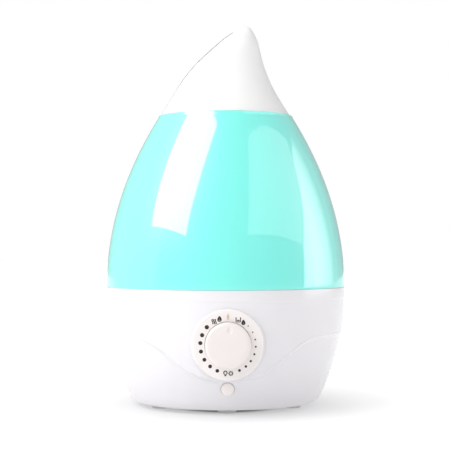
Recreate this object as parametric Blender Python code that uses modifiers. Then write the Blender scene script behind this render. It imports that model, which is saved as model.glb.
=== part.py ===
"""Cool mist humidifier: a teardrop water tank on a round base, with a mist nozzle for its tip.

Units are metres and +Z is up. The front, which carries the dial, faces -Y. The origin lies on the
surface that the feet stand on, under the middle of the footprint. The knob reaches further forward
than the body reaches back, so the body's own axis stands AXIS_Y behind the origin. Every piece is
placed from that axis, through the empty "body_axis".
"""

import math

import bmesh
import bpy
from mathutils import Matrix

# ---------------------------------------------------------------- driving dimensions

BODY_R = 0.0840            # widest radius, where the tank meets the base
JOINT_Z = 0.0827           # height of the line between the base and the tank
BASE_BOTTOM_Z = 0.0027     # lower edge of the base, held up by the feet
TANK_TOP_Z = 0.2030
NOZZLE_BOTTOM_Z = 0.2036
NOZZLE_TOP_Z = 0.2677

TANK_CURVE = (0.180, 2.03)  # the tank narrows as (height / length) ** power
BASE_CURVE = (0.164, 2.10)

SHELL = 0.0025             # wall of the base and the tank
THIN = 0.0020              # wall of smaller mouldings
GAP = 0.0003               # between pieces that touch
SLIP = 0.0006              # between pieces that move past each other
STEPS = 40                 # sides of the large turned shells
ROUND = 20                 # sides of small round pieces

DIAL_Z = 0.0477
DIAL_R = 0.0233
BOSS_FRONT = 0.0844        # distances forward of the body's axis
PLATE_FRONT = 0.0857
KNOB_R = 0.0149
KNOB_FRONT = 0.0940
KNOB_BACK = 0.0842         # the skirt reaches through the plate's round hole
KNOB_HOLE_R = 0.0154
INDICATOR_Z = 0.0662
BUTTON_Z = 0.0178
BUTTON_R = 0.0044
BUTTON_TRAVEL = 0.0008
FLANGE_FRONT = 0.0665      # the flange that keeps the button in its hole
FLANGE_BACK = 0.0657
BOARD_FRONT = 0.0596       # front face of the control board
INDICATOR_HOLE_R = 0.0018

COVER_R = 0.0600           # bottom cover
COVER_BOTTOM_Z = 0.0030
COVER_TOP_Z = 0.0052
COVER_OPENING_R = 0.0604
BASE_EDGE_R = 0.0630       # lower edge of the casing
FOOT_R = 0.0064
FOOT_RING_R = 0.0520
COLUMN_RING_R = 0.0540     # the four screw columns, at 45 degrees
COLUMN_R = 0.0040
PILOT_R = 0.0017

DECK_Z = 0.0655            # top of the basin's deck
DECK_BOTTOM_Z = 0.0630
BASIN_R = 0.0782           # the basin's outer wall
LIP_R = 0.0806             # the lip that centres the tank
LIP_TOP_Z = 0.0855
WELL_R = 0.0245            # transducer well, on the body's axis
WELL_FLOOR_Z = 0.0425
WELL_HOLE_R = 0.0090
RECESS_Y = 0.0460          # recess for the tank's cap, behind the well
RECESS_R = 0.0250
RECESS_FLOOR_Z = 0.0540
POST_R = 0.0018            # the post that holds the tank's valve open
FAN_X = -0.0500            # fan and air duct, left of the well
FAN_SIZE = 0.0400
FAN_LOW_Z = 0.0330
FAN_HIGH_Z = 0.0430
FAN_HUB_R = 0.0085
FAN_BORE_R = 0.0185
DUCT_TOP_Z = 0.0800
DUCT_R = 0.0150
DUCT_SKIRT_R = 0.0195
FLOAT_X = 0.0500           # float, right of the well
FLOAT_Y = -0.0080
FLOAT_R = 0.0100
FLOAT_POST_R = 0.0025
FLOAT_POST_TOP_Z = 0.0826
LAMP_XY = (-0.0520, 0.0280)
LAMP_R = 0.0052
BOARD_LOW_Z = 0.0140       # main board
BOARD_TOP_Z = 0.0156

TANK_FLOOR_Z = 0.0865
TUBE_R = 0.0163            # mist tube, outside
TANK_FLOOR_R = 0.0810
TANK_FLOOR_THICK = 0.0022
NECK_R = 0.0180            # filler neck, outside
NECK_WALL = 0.0022
CAP_R = 0.0210
CAP_TOP_Z = 0.0840
CAP_PLATE_TOP_Z = 0.0710
CAP_HOLE_R = 0.0032
VALVE_TRAVEL = 0.0024
STEM_R = 0.0018            # the valve's stem
TANK_DECK_Z = 0.1953       # floor of the tank's mouth, which the collar stands on
MOUTH_R = 0.0440
COLLAR_R = 0.0426
BAFFLE_R = 0.0210

AXIS_Y = (KNOB_FRONT - BODY_R) / 2

# Half outlines of the nozzle, seen from the front: (height, sideways distance from the axis).
NOZZLE_RIGHT = ((0.2036, 0.0455), (0.2220, 0.0344), (0.2390, 0.0273), (0.2560, 0.0230), (0.2627, 0.0200))
NOZZLE_FACE = ((0.2036, -0.0475), (0.2200, -0.0359), (0.2365, -0.0225), (0.2547, -0.0039), (0.2627, 0.0056))
NOZZLE_LEAN = ((0.2036, 0.0000), (0.2220, 0.0000), (0.2390, 0.0010), (0.2560, 0.0085), (0.2627, 0.0128))
NOZZLE_TIP_X = 0.0146
NOZZLE_TRIM = 0.0030       # extra skirt, trimmed off level so that the rim lies flat

WHITE = (0.87, 0.86, 0.86)
WARM_WHITE = (0.88, 0.85, 0.81)
TEAL = (0.30, 0.90, 0.84)
MILKY = (0.80, 0.90, 0.89)
RUBBER = (0.20, 0.20, 0.21)
GREEN = (0.03, 0.16, 0.08)
BLACK = (0.02, 0.02, 0.02)
STEEL = (0.62, 0.62, 0.63)
BRASS = (0.72, 0.55, 0.28)

# ---------------------------------------------------------------- scene and helpers


def clear_scene():
    for item in list(bpy.data.objects):
        bpy.data.objects.remove(item, do_unlink=True)


def new_collection(name, hidden=False):
    collection = bpy.data.collections.new(name)
    collection.hide_render = hidden
    bpy.context.scene.collection.children.link(collection)
    return collection


clear_scene()
PARTS = new_collection("cool_mist_humidifier")
CUTTERS = new_collection("cutters", hidden=True)
BODY_AXIS = bpy.data.objects.new("body_axis", None)
BODY_AXIS.location = (0, AXIS_Y, 0)
PARTS.objects.link(BODY_AXIS)

TO_FRONT = (math.pi / 2, 0, 0)   # turns a piece's own +Z to face the front
NO_TURN = (0, 0, 0)


def material(name, colour, rough, metal=0.0, alpha=1.0):
    made = bpy.data.materials.new(name)
    made.use_nodes = True
    shader = made.node_tree.nodes["Principled BSDF"]
    shader.inputs["Base Color"].default_value = (*colour, 1.0)
    shader.inputs["Roughness"].default_value = rough
    shader.inputs["Metallic"].default_value = metal
    shader.inputs["Alpha"].default_value = alpha
    return made


def place(name, mesh, colour=None, rough=0.4, metal=0.0, alpha=1.0, at=(0, 0, 0), turn=NO_TURN):
    """An object on the body's axis. With no colour it is a cutter, or a shape to be joined."""
    item = bpy.data.objects.new(name, mesh)
    item.parent = BODY_AXIS
    item.location = at
    item.rotation_euler = turn
    if colour is None:
        item.hide_render = True
        item.display_type = "WIRE"
        CUTTERS.objects.link(item)
        return item
    mesh.materials.append(material(name, colour, rough, metal, alpha))
    PARTS.objects.link(item)
    return item


def finish_mesh(name, shape, smooth=True):
    bmesh.ops.recalc_face_normals(shape, faces=shape.faces)
    mesh = bpy.data.meshes.new(name)
    shape.to_mesh(mesh)
    shape.free()
    if smooth:
        mesh.shade_smooth()
        mesh.set_sharp_from_angle(angle=math.radians(35))
    return mesh


def rod(name, radius, low, high, sides=ROUND, top_radius=None, **where):
    """A round bar along its own Z, from low to high."""
    shape = bmesh.new()
    bmesh.ops.create_cone(
        shape, cap_ends=True, segments=sides, radius1=radius,
        radius2=radius if top_radius is None else top_radius, depth=high - low,
    )
    bmesh.ops.translate(shape, verts=shape.verts, vec=(0, 0, (low + high) / 2))
    return place(name, finish_mesh(name, shape), **where)


def add_box(shape, low, high):
    made = bmesh.ops.create_cube(shape, size=1.0)["verts"]
    size = [b - a for a, b in zip(low, high)]
    bmesh.ops.scale(shape, verts=made, vec=size)
    bmesh.ops.translate(shape, verts=made, vec=[(a + b) / 2 for a, b in zip(low, high)])
    return made


def block(name, low, high, edge=0.0, **where):
    shape = bmesh.new()
    add_box(shape, low, high)
    item = place(name, finish_mesh(name, shape, smooth=False), **where)
    if edge:
        soften(item, edge)
    return item


def blocks(name, corners, **where):
    """Several separate boxes in one mesh, for a cutter or for joining to a body that links them."""
    shape = bmesh.new()
    for low, high in corners:
        add_box(shape, low, high)
    return place(name, finish_mesh(name, shape, smooth=False), **where)


def soften(item, width):
    bevel = item.modifiers.new("rounded_edges", "BEVEL")
    bevel.width = width
    bevel.segments = 1
    bevel.limit_method = "ANGLE"


def turned(name, profile, ring=False, steps=ROUND, **where):
    """Turns a profile of (radius, height) points, which runs down its outer side.

    A ring's profile is a closed loop off the axis; any other profile starts and ends on it.
    """
    mesh = bpy.data.meshes.new(name)
    count = len(profile)
    edges = [(i, (i + 1) % count) for i in range(count if ring else count - 1)]
    mesh.from_pydata([(radius, 0, height) for radius, height in profile], edges, [])
    item = place(name, mesh, **where)
    screw = item.modifiers.new("turned", "SCREW")
    screw.axis = "Z"
    screw.steps = steps
    screw.render_steps = steps
    screw.use_merge_vertices = True
    screw.merge_threshold = 0.00001
    screw.use_smooth_shade = True
    return item


def tube(name, inner, outer, low, high, **where):
    return turned(name, [(outer, high), (outer, low), (inner, low), (inner, high)], ring=True, **where)


def combine(item, other, operation):
    modifier = item.modifiers.new(other.name, "BOOLEAN")
    modifier.operation = operation
    modifier.object = other


def cut(item, *cutters):
    for cutter in cutters:
        combine(item, cutter, "DIFFERENCE")


def join(item, *others):
    for other in others:
        combine(item, other, "UNION")


def wire(name, points, radius, **where):
    """A round wire through the points, capped at both ends, as a mesh."""
    curve = bpy.data.curves.new(name, "CURVE")
    curve.dimensions = "3D"
    curve.bevel_depth = radius
    curve.bevel_resolution = 1
    curve.use_fill_caps = True
    spline = curve.splines.new("POLY")
    spline.points.add(len(points) - 1)
    for point, place_at in zip(spline.points, points):
        point.co = (*place_at, 1.0)
    guide = bpy.data.objects.new(name + "_route", curve)
    bpy.context.scene.collection.objects.link(guide)
    graph = bpy.context.evaluated_depsgraph_get()
    mesh = bpy.data.meshes.new_from_object(guide.evaluated_get(graph))
    bpy.data.objects.remove(guide, do_unlink=True)
    shape = bmesh.new()
    shape.from_mesh(mesh)
    bmesh.ops.remove_doubles(shape, verts=shape.verts, dist=0.00001)
    bpy.data.meshes.remove(mesh)
    return place(name, finish_mesh(name, shape), **where)


def through(points, at):
    """The height-to-distance curve through (height, value) points, read at one height."""
    last = len(points) - 1
    slopes = []
    for i in range(len(points)):
        before, after = points[max(i - 1, 0)], points[min(i + 1, last)]
        slopes.append((after[1] - before[1]) / (after[0] - before[0]))
    i = max(0, min(last - 1, sum(at >= height for height, _ in points) - 1))
    (low, start), (high, end) = points[i], points[i + 1]
    span = high - low
    t = (at - low) / span
    return (
        start * (2 * t**3 - 3 * t**2 + 1) + end * (3 * t**2 - 2 * t**3)
        + span * slopes[i] * (t**3 - 2 * t**2 + t) + span * slopes[i + 1] * (t**3 - t**2)
    )


def spaced(low, high, count):
    return [low + (high - low) * i / (count - 1) for i in range(count)]


def ring_places(radius, count, first_degrees):
    angles = [math.radians(first_degrees + 360 * i / count) for i in range(count)]
    return [(radius * math.cos(a), radius * math.sin(a)) for a in angles]


def tank_radius(height):
    length, power = TANK_CURVE
    return BODY_R * (1 - (max(height - JOINT_Z, 0) / length) ** power)


def base_radius(height):
    length, power = BASE_CURVE
    return BODY_R * (1 - (max(JOINT_Z - height, 0) / length) ** power)


# ---------------------------------------------------------------- base: casing


def make_base_shell():
    """A solid bowl with the dial's boss on its front, hollowed to an even wall."""
    top = JOINT_Z - GAP / 2
    corner_z = 0.0075      # the wall turns in below this height, to the lower edge
    heights = spaced(top, corner_z, 9)
    outer = [(0, top)] + [(base_radius(z), z) for z in heights]
    outer += [(BASE_EDGE_R + 0.0025, 0.0042), (BASE_EDGE_R, BASE_BOTTOM_Z), (0, BASE_BOTTOM_Z)]
    shell = turned("base_shell", outer, steps=STEPS, colour=WHITE, rough=0.3)
    join(shell, rod("boss", DIAL_R, 0.0500, BOSS_FRONT, sides=32, at=(0, 0, DIAL_Z), turn=TO_FRONT))
    inner = [(0, top + 0.01), (base_radius(top) - SHELL, top + 0.01)]
    inner += [(base_radius(z) - SHELL, z) for z in heights]
    inner += [(BASE_EDGE_R, 0.0062), (COVER_OPENING_R, COVER_TOP_Z), (COVER_OPENING_R, -0.01), (0, -0.01)]
    cut(
        shell,
        turned("base_inside", inner, steps=STEPS),
        rod("boss_inside", DIAL_R - SHELL, 0.0600, BOSS_FRONT - SHELL, sides=32,
            at=(0, 0, DIAL_Z), turn=TO_FRONT),
        rod("knob_hole", KNOB_HOLE_R, 0.0700, 0.0900, sides=32, at=(0, 0, DIAL_Z), turn=TO_FRONT),
        rod("indicator_hole", INDICATOR_HOLE_R, 0.0780, 0.0900, sides=12, at=(0, 0, INDICATOR_Z), turn=TO_FRONT),
        rod("button_hole", BUTTON_R + GAP, 0.0640, 0.0800, at=(0, 0, BUTTON_Z), turn=TO_FRONT),
        rod("inlet_hole", 0.0050, -0.0800, -0.0640, at=(0, 0, BUTTON_Z), turn=TO_FRONT),
    )


def make_bottom_cover():
    cover = turned(
        "bottom_cover",
        [(0, COVER_TOP_Z), (COVER_R, COVER_TOP_Z), (COVER_R, COVER_BOTTOM_Z), (0, COVER_BOTTOM_Z)],
        steps=STEPS, colour=WHITE, rough=0.5,
    )
    slots = [((x, -0.015, 0), (x + 0.003, 0.015, 0.008)) for x in spaced(-0.0520, -0.0320, 5)]
    cut(cover, blocks("intake_slots", slots))
    for i, (x, y) in enumerate(ring_places(COLUMN_RING_R, 4, 45), 1):
        cut(cover, rod(f"screw_hole_{i}", PILOT_R, 0, 0.008, sides=12, at=(x, y, 0)))
        turned(
            f"cover_screw_{i}",
            [(0, 0.0130), (0.0013, 0.0130), (0.0013, 0.0027), (0.0030, 0.0027), (0.0024, 0.0013), (0, 0.0013)],
            steps=12, colour=STEEL, rough=0.3, metal=1.0, at=(x, y, 0),
        )
    for i, (x, y) in enumerate(ring_places(FOOT_RING_R, 6, 270), 1):
        turned(
            f"foot_{i}",
            [(0, BASE_BOTTOM_Z), (FOOT_R, BASE_BOTTOM_Z), (FOOT_R, 0.0006), (FOOT_R - 0.0006, 0), (0, 0)],
            colour=RUBBER, rough=0.8, at=(x, y, 0),
        )


def make_basin():
    """The basin's deck and its outer wall, whose lip centres the tank."""
    basin = turned(
        "water_basin",
        [
            (LIP_R, LIP_TOP_Z), (LIP_R, 0.0780), (BASIN_R, 0.0755), (BASIN_R, DECK_BOTTOM_Z),
            (WELL_R, DECK_BOTTOM_Z), (WELL_R, DECK_Z), (BASIN_R - 0.0022, DECK_Z), (BASIN_R - 0.0022, 0.0775),
            (LIP_R - THIN, 0.0800), (LIP_R - THIN, LIP_TOP_Z),
        ],
        ring=True, steps=STEPS, colour=WHITE, rough=0.4,
    )
    cut(
        basin,
        rod("recess_hole", RECESS_R, 0.0600, 0.0700, sides=32, at=(0, RECESS_Y, 0)),
        rod("duct_hole", DUCT_R + 0.0004, 0.0600, 0.0700, at=(FAN_X, 0, 0)),
        rod("lamp_hole", LAMP_R + GAP, 0.0600, 0.0700, at=(*LAMP_XY, 0)),
    )


def make_wells():
    """The two tubs under the deck, for the transducer and for the tank's cap. They open into each other."""
    top = DECK_BOTTOM_Z - GAP
    well = turned(
        "mist_well",
        [
            (WELL_R + SHELL, top), (WELL_R + SHELL, WELL_FLOOR_Z - SHELL), (WELL_HOLE_R, WELL_FLOOR_Z - SHELL),
            (WELL_HOLE_R, WELL_FLOOR_Z), (WELL_R, WELL_FLOOR_Z), (WELL_R, top),
        ],
        ring=True, steps=STEPS, colour=WHITE, rough=0.4,
    )
    cut(well, rod("recess_inside", RECESS_R, RECESS_FLOOR_Z, 0.0700, sides=32, at=(0, RECESS_Y, 0)))
    recess = turned(
        "cap_well",
        [
            (0, RECESS_FLOOR_Z), (RECESS_R, RECESS_FLOOR_Z), (RECESS_R, top), (RECESS_R + SHELL, top),
            (RECESS_R + SHELL, RECESS_FLOOR_Z - SHELL), (0, RECESS_FLOOR_Z - SHELL),
        ],
        steps=32, colour=WHITE, rough=0.4, at=(0, RECESS_Y, 0),
    )
    cut(recess, rod("well_clearance", WELL_R + SHELL + GAP, 0.0300, 0.0700, sides=STEPS))
    rod("valve_post", POST_R, RECESS_FLOOR_Z + GAP, 0.0673, sides=12, colour=WHITE, rough=0.4,
        at=(0, RECESS_Y, 0))


def make_columns():
    """The columns under the deck that the cover's screws bite into."""
    for i, (x, y) in enumerate(ring_places(COLUMN_RING_R, 4, 45), 1):
        column = rod(f"screw_column_{i}", COLUMN_R, COVER_TOP_Z + 0.0004, DECK_BOTTOM_Z - GAP, sides=12,
                     colour=WHITE, rough=0.4, at=(x, y, 0))
        cut(column, rod(f"pilot_hole_{i}", PILOT_R, 0.0040, 0.0150, sides=12, at=(x, y, 0)))


# ---------------------------------------------------------------- base: mist maker, air and light


def make_mist_maker():
    tube("transducer_seal", 0.0082, 0.0125, 0.0382, 0.0397, colour=(0.75, 0.73, 0.70), rough=0.7)
    rod("transducer_disc", 0.0120, 0.0367, 0.0379, colour=BRASS, rough=0.3, metal=1.0)
    tube("transducer_clamp", 0.0080, 0.0150, 0.0340, 0.0364, colour=STEEL, rough=0.4, metal=1.0)


def make_fan():
    half = FAN_SIZE / 2
    frame = block("fan_frame", (-half, -half, FAN_LOW_Z), (half, half, FAN_HIGH_Z), edge=0.002,
                  colour=BLACK, rough=0.5, at=(FAN_X, 0, 0))
    cut(frame, rod("fan_bore", FAN_BORE_R, FAN_LOW_Z - 0.003, FAN_HIGH_Z + 0.003, sides=32, at=(FAN_X, 0, 0)))
    join(frame, rod("motor_seat", FAN_HUB_R, FAN_LOW_Z, FAN_LOW_Z + 0.0012, at=(FAN_X, 0, 0)))
    for i in range(3):
        arm = block(f"fan_arm_{i + 1}", (0.004, -0.0012, FAN_LOW_Z), (0.0192, 0.0012, FAN_LOW_Z + 0.0011),
                    at=(FAN_X, 0, 0), turn=(0, 0, math.radians(120 * i + 90)))
        join(frame, arm)
    rotor = rod("fan_rotor", FAN_HUB_R, 0.0346, 0.0418, colour=BLACK, rough=0.4, at=(FAN_X, 0, 0))
    blade_tilt, blade_tip = math.radians(48), FAN_BORE_R - 0.0009
    for i in range(7):
        blade = block(
            f"fan_blade_{i + 1}", (0.0060, -0.0005, -0.0032), (blade_tip, 0.0005, 0.0032),
            at=(FAN_X, 0, 0.0382), turn=(blade_tilt, 0, 2 * math.pi * i / 7),
        )
        join(rotor, blade)
    skirt_low = FAN_HIGH_Z + GAP
    turned(
        "air_duct",
        [
            (DUCT_R, DUCT_TOP_Z), (DUCT_R, 0.0540), (DUCT_SKIRT_R, 0.0460), (DUCT_SKIRT_R, skirt_low),
            (DUCT_SKIRT_R - 0.0017, skirt_low), (DUCT_SKIRT_R - 0.0017, 0.0455),
            (DUCT_R - 0.0018, 0.0535), (DUCT_R - 0.0018, DUCT_TOP_Z),
        ],
        ring=True, colour=WHITE, rough=0.4, at=(FAN_X, 0, 0),
    )


def make_lamp():
    turned(
        "lamp_lens",
        [(0, 0.0715), (0.0030, 0.0708), (LAMP_R, 0.0685), (LAMP_R, 0.0612), (0, 0.0612)],
        steps=16, colour=(0.9, 0.93, 0.95), rough=0.1, alpha=0.5, at=(*LAMP_XY, 0),
    )
    block("lamp_board", (-0.005, -0.008, 0.0590), (0.005, 0.008, 0.0606), colour=GREEN, rough=0.5,
          at=(*LAMP_XY, 0))


def make_main_board():
    block("main_board", (-0.0200, -0.0240, BOARD_LOW_Z), (0.0400, 0.0290, BOARD_TOP_Z),
          colour=GREEN, rough=0.5)
    board_top = BOARD_TOP_Z + GAP
    fins = [((0.0130 + 0.004 * i, 0.0100, board_top + 0.002), (0.0150 + 0.004 * i, 0.0250, 0.0310))
            for i in range(6)]
    sink = block("heat_sink", (0.0130, 0.0100, board_top), (0.0350, 0.0250, board_top + 0.003),
                 colour=(0.5, 0.5, 0.52), rough=0.4, metal=1.0)
    join(sink, blocks("heat_sink_fins", fins))
    block("power_transistor", (0.0180, 0.0030, board_top), (0.0280, 0.0096, board_top + 0.0100),
          colour=BLACK, rough=0.4)
    rod("capacitor", 0.0050, board_top, board_top + 0.0130, sides=16, colour=(0.03, 0.05, 0.12), rough=0.3,
        at=(-0.0100, 0.0180, 0))
    tube("choke_coil", 0.0025, 0.0065, board_top, board_top + 0.0070, steps=16, colour=(0.45, 0.18, 0.05),
         rough=0.4, at=(0, -0.0080, 0))


def make_inlet():
    """The round low-voltage socket in the back of the base."""
    inlet = block("power_inlet", (-0.0048, 0.0560, 0.0125), (0.0048, 0.0660, 0.0230), colour=BLACK, rough=0.4)
    join(inlet, rod("inlet_barrel", 0.0046, -0.0722, -0.0650, at=(0, 0, BUTTON_Z), turn=TO_FRONT))
    cut(inlet, rod("inlet_bore", 0.0030, -0.0760, -0.0590, sides=16, at=(0, 0, BUTTON_Z), turn=TO_FRONT))
    join(inlet, rod("inlet_pin", 0.0010, -0.0715, -0.0580, sides=8, at=(0, 0, BUTTON_Z), turn=TO_FRONT))


def make_float():
    turned(
        "float_post",
        [(0, FLOAT_POST_TOP_Z), (0.0042, FLOAT_POST_TOP_Z), (0.0042, FLOAT_POST_TOP_Z - 0.0014),
         (FLOAT_POST_R, FLOAT_POST_TOP_Z - 0.0014), (FLOAT_POST_R, DECK_Z + GAP), (0, DECK_Z + GAP)],
        steps=16, colour=WHITE, rough=0.4, at=(FLOAT_X, FLOAT_Y, 0),
    )
    tube("float_ring", FLOAT_POST_R + SLIP, FLOAT_R, 0.0665, 0.0750, steps=ROUND, colour=(0.85, 0.85, 0.83), rough=0.6,
         at=(FLOAT_X, FLOAT_Y, 0))
    block("reed_switch", (FLOAT_X - 0.009, FLOAT_Y - 0.002, 0.0585), (FLOAT_X + 0.009, FLOAT_Y + 0.002, 0.0625),
          edge=0.0008, colour=(0.5, 0.6, 0.5), rough=0.2)


# ---------------------------------------------------------------- base: dial, knob and button


def make_dial():
    plate = turned(
        "dial_plate",
        [(0, PLATE_FRONT), (DIAL_R - 0.0008, PLATE_FRONT), (DIAL_R - 0.0003, PLATE_FRONT - 0.0005),
         (DIAL_R - 0.0003, BOSS_FRONT + GAP), (0, BOSS_FRONT + GAP)],
        steps=32, colour=WARM_WHITE, rough=0.35, at=(0, 0, DIAL_Z), turn=TO_FRONT,
    )
    cut(
        plate,
        rod("plate_hole", KNOB_HOLE_R, 0.0800, 0.0900, sides=32, at=(0, 0, DIAL_Z), turn=TO_FRONT),
        rod("plate_indicator_hole", INDICATOR_HOLE_R, 0.0800, 0.0900, sides=12, at=(0, 0, INDICATOR_Z),
            turn=TO_FRONT),
    )
    rod("indicator_lens", INDICATOR_HOLE_R - GAP, 0.0816, PLATE_FRONT + 0.0002, sides=12, colour=(0.9, 0.6, 0.35), rough=0.2,
        at=(0, 0, INDICATOR_Z), turn=TO_FRONT)
    block("indicator_led", (-0.0014, -0.0812, INDICATOR_Z - 0.0016), (0.0014, -0.0788, INDICATOR_Z + 0.0016),
          edge=0.0004, colour=(0.9, 0.35, 0.1), rough=0.2)
    block("control_board", (-0.0220, -BOARD_FRONT, 0.0120), (0.0220, 0.0016 - BOARD_FRONT, 0.0580),
          colour=GREEN, rough=0.5)
    can_front = BOARD_FRONT + 0.0090
    turned(
        "potentiometer",
        [
            (0, can_front), (0.0033, can_front), (0.0033, 0.0760), (0.0045, 0.0760), (0.0045, can_front),
            (0.0085, can_front - 0.0005), (0.0085, BOARD_FRONT + GAP), (0, BOARD_FRONT + GAP),
        ],
        colour=STEEL, rough=0.35, metal=1.0, at=(0, 0, DIAL_Z), turn=TO_FRONT,
    )


def make_knob():
    knob = turned(
        "mist_knob",
        [
            (0, KNOB_FRONT), (KNOB_R - 0.0016, KNOB_FRONT), (KNOB_R - 0.0004, KNOB_FRONT - 0.0006),
            (KNOB_R, KNOB_FRONT - 0.0020), (KNOB_R, KNOB_BACK), (KNOB_R - THIN, KNOB_BACK),
            (KNOB_R - THIN, KNOB_FRONT - THIN), (0.0055, KNOB_FRONT - THIN), (0.0055, KNOB_BACK + 0.0003),
            (0.0033, KNOB_BACK + 0.0003), (0.0033, KNOB_FRONT - 0.0026), (0, KNOB_FRONT - 0.0026),
        ],
        steps=32, colour=WARM_WHITE, rough=0.35, at=(0, 0, DIAL_Z), turn=TO_FRONT,
    )
    dimple = bmesh.new()
    bmesh.ops.create_uvsphere(dimple, u_segments=12, v_segments=8, radius=0.0030)
    cut(knob, place("knob_dimple", finish_mesh("knob_dimple", dimple),
                    at=(0.0010, -KNOB_FRONT - 0.0024, DIAL_Z + 0.0098)))
    rod("potentiometer_shaft", 0.0029, BOARD_FRONT + 0.0093, KNOB_FRONT - 0.0029, sides=16, colour=STEEL, rough=0.3,
        metal=1.0, at=(0, 0, DIAL_Z), turn=TO_FRONT)


def make_button():
    turned(
        "light_button",
        [
            (0, 0.0738), (0.0034, 0.0735), (BUTTON_R, 0.0727), (BUTTON_R, FLANGE_FRONT),
            (0.0058, FLANGE_FRONT), (0.0058, FLANGE_BACK), (0, FLANGE_BACK),
        ],
        colour=WARM_WHITE, rough=0.35, at=(0, 0, BUTTON_Z), turn=TO_FRONT,
    )
    plunger_low = 0.0618
    rod("switch_plunger", 0.0016, plunger_low, FLANGE_BACK - GAP, sides=12, colour=BLACK, rough=0.5,
        at=(0, 0, BUTTON_Z), turn=TO_FRONT)
    switch = block("tact_switch", (-0.003, -0.0632, BUTTON_Z - 0.003),
                   (0.003, -BOARD_FRONT - GAP, BUTTON_Z + 0.003), colour=(0.1, 0.1, 0.1), rough=0.5)
    cut(switch, rod("plunger_bore", 0.0020, plunger_low - BUTTON_TRAVEL - GAP, 0.0670, sides=12,
                    at=(0, 0, BUTTON_Z), turn=TO_FRONT))


# ---------------------------------------------------------------- tank


def make_tank():
    bottom = JOINT_Z + GAP / 2
    lip_z = TANK_TOP_Z - 0.0022
    heights = spaced(lip_z, bottom, 10)
    outer = [(tank_radius(TANK_TOP_Z) - 0.0012, TANK_TOP_Z), (tank_radius(lip_z), lip_z)]
    outer += [(tank_radius(z), z) for z in heights[1:]]
    inside = [z for z in reversed(heights) if z < TANK_DECK_Z - 0.006]
    inner = [(tank_radius(z) - SHELL, z) for z in inside]
    inner += [
        (tank_radius(TANK_DECK_Z - SHELL) - SHELL, TANK_DECK_Z - SHELL), (TUBE_R + GAP, TANK_DECK_Z - SHELL),
        (TUBE_R + GAP, TANK_DECK_Z), (MOUTH_R, TANK_DECK_Z), (MOUTH_R, TANK_TOP_Z),
    ]
    turned("tank_shell", outer + inner, ring=True, steps=STEPS, colour=TEAL, rough=0.15, alpha=0.6)
    tube("mist_tube", TUBE_R - THIN, TUBE_R, TANK_FLOOR_Z - 0.0020, TANK_DECK_Z + 0.0005, colour=MILKY,
         rough=0.3, alpha=0.6)
    floor_top = TANK_FLOOR_Z + TANK_FLOOR_THICK
    floor = turned(
        "tank_floor",
        [(TANK_FLOOR_R, floor_top), (TANK_FLOOR_R, TANK_FLOOR_Z), (TUBE_R + GAP, TANK_FLOOR_Z), (TUBE_R + GAP, floor_top)],
        ring=True, steps=STEPS, colour=TEAL, rough=0.2, alpha=0.6,
    )
    join(floor, rod("neck_outside", NECK_R, 0.0730, floor_top - 0.0010, sides=32, at=(0, RECESS_Y, 0)))
    cut(floor, rod("neck_inside", NECK_R - NECK_WALL, 0.0700, 0.0900, sides=32, at=(0, RECESS_Y, 0)))


def make_cap():
    plate_low = CAP_PLATE_TOP_Z - SHELL
    cap = turned(
        "tank_cap",
        [
            (CAP_R - 0.0006, CAP_TOP_Z), (CAP_R, CAP_TOP_Z - 0.0006), (CAP_R, plate_low + 0.001),
            (CAP_R - 0.001, plate_low), (CAP_HOLE_R, plate_low), (CAP_HOLE_R, CAP_PLATE_TOP_Z),
            (NECK_R + 0.0004, CAP_PLATE_TOP_Z), (NECK_R + 0.0004, CAP_TOP_Z),
        ],
        ring=True, steps=24, colour=WHITE, rough=0.4, at=(0, RECESS_Y, 0),
    )
    ribs = bmesh.new()
    for i in range(16):
        made = add_box(ribs, (CAP_R - 0.0006, -0.0008, 0.0705), (CAP_R + 0.0008, 0.0008, 0.0825))
        bmesh.ops.rotate(ribs, verts=made, matrix=Matrix.Rotation(math.tau * i / 16, 3, "Z"))
    join(cap, place("cap_ribs", finish_mesh("cap_ribs", ribs, smooth=False), at=(0, RECESS_Y, 0)))
    tube("cap_gasket", 0.0162, 0.0178, CAP_PLATE_TOP_Z + GAP, 0.0727, steps=24, colour=RUBBER, rough=0.8,
         at=(0, RECESS_Y, 0))
    bridge = block("valve_bridge", (-0.0135, -0.0025, CAP_TOP_Z), (0.0135, 0.0025, CAP_TOP_Z + 0.0016), colour=WHITE,
                   rough=0.4, at=(0, RECESS_Y, 0))
    legs = [((x - 0.0012, -0.0025, CAP_PLATE_TOP_Z + GAP), (x + 0.0012, 0.0025, CAP_TOP_Z + 0.0008))
            for x in (-0.0123, 0.0123)]
    join(bridge, blocks("bridge_legs", legs, at=(0, RECESS_Y, 0)))
    cut(bridge, rod("bridge_hole", 0.0021, 0.0800, 0.0900, sides=12, at=(0, RECESS_Y, 0)))


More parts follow.
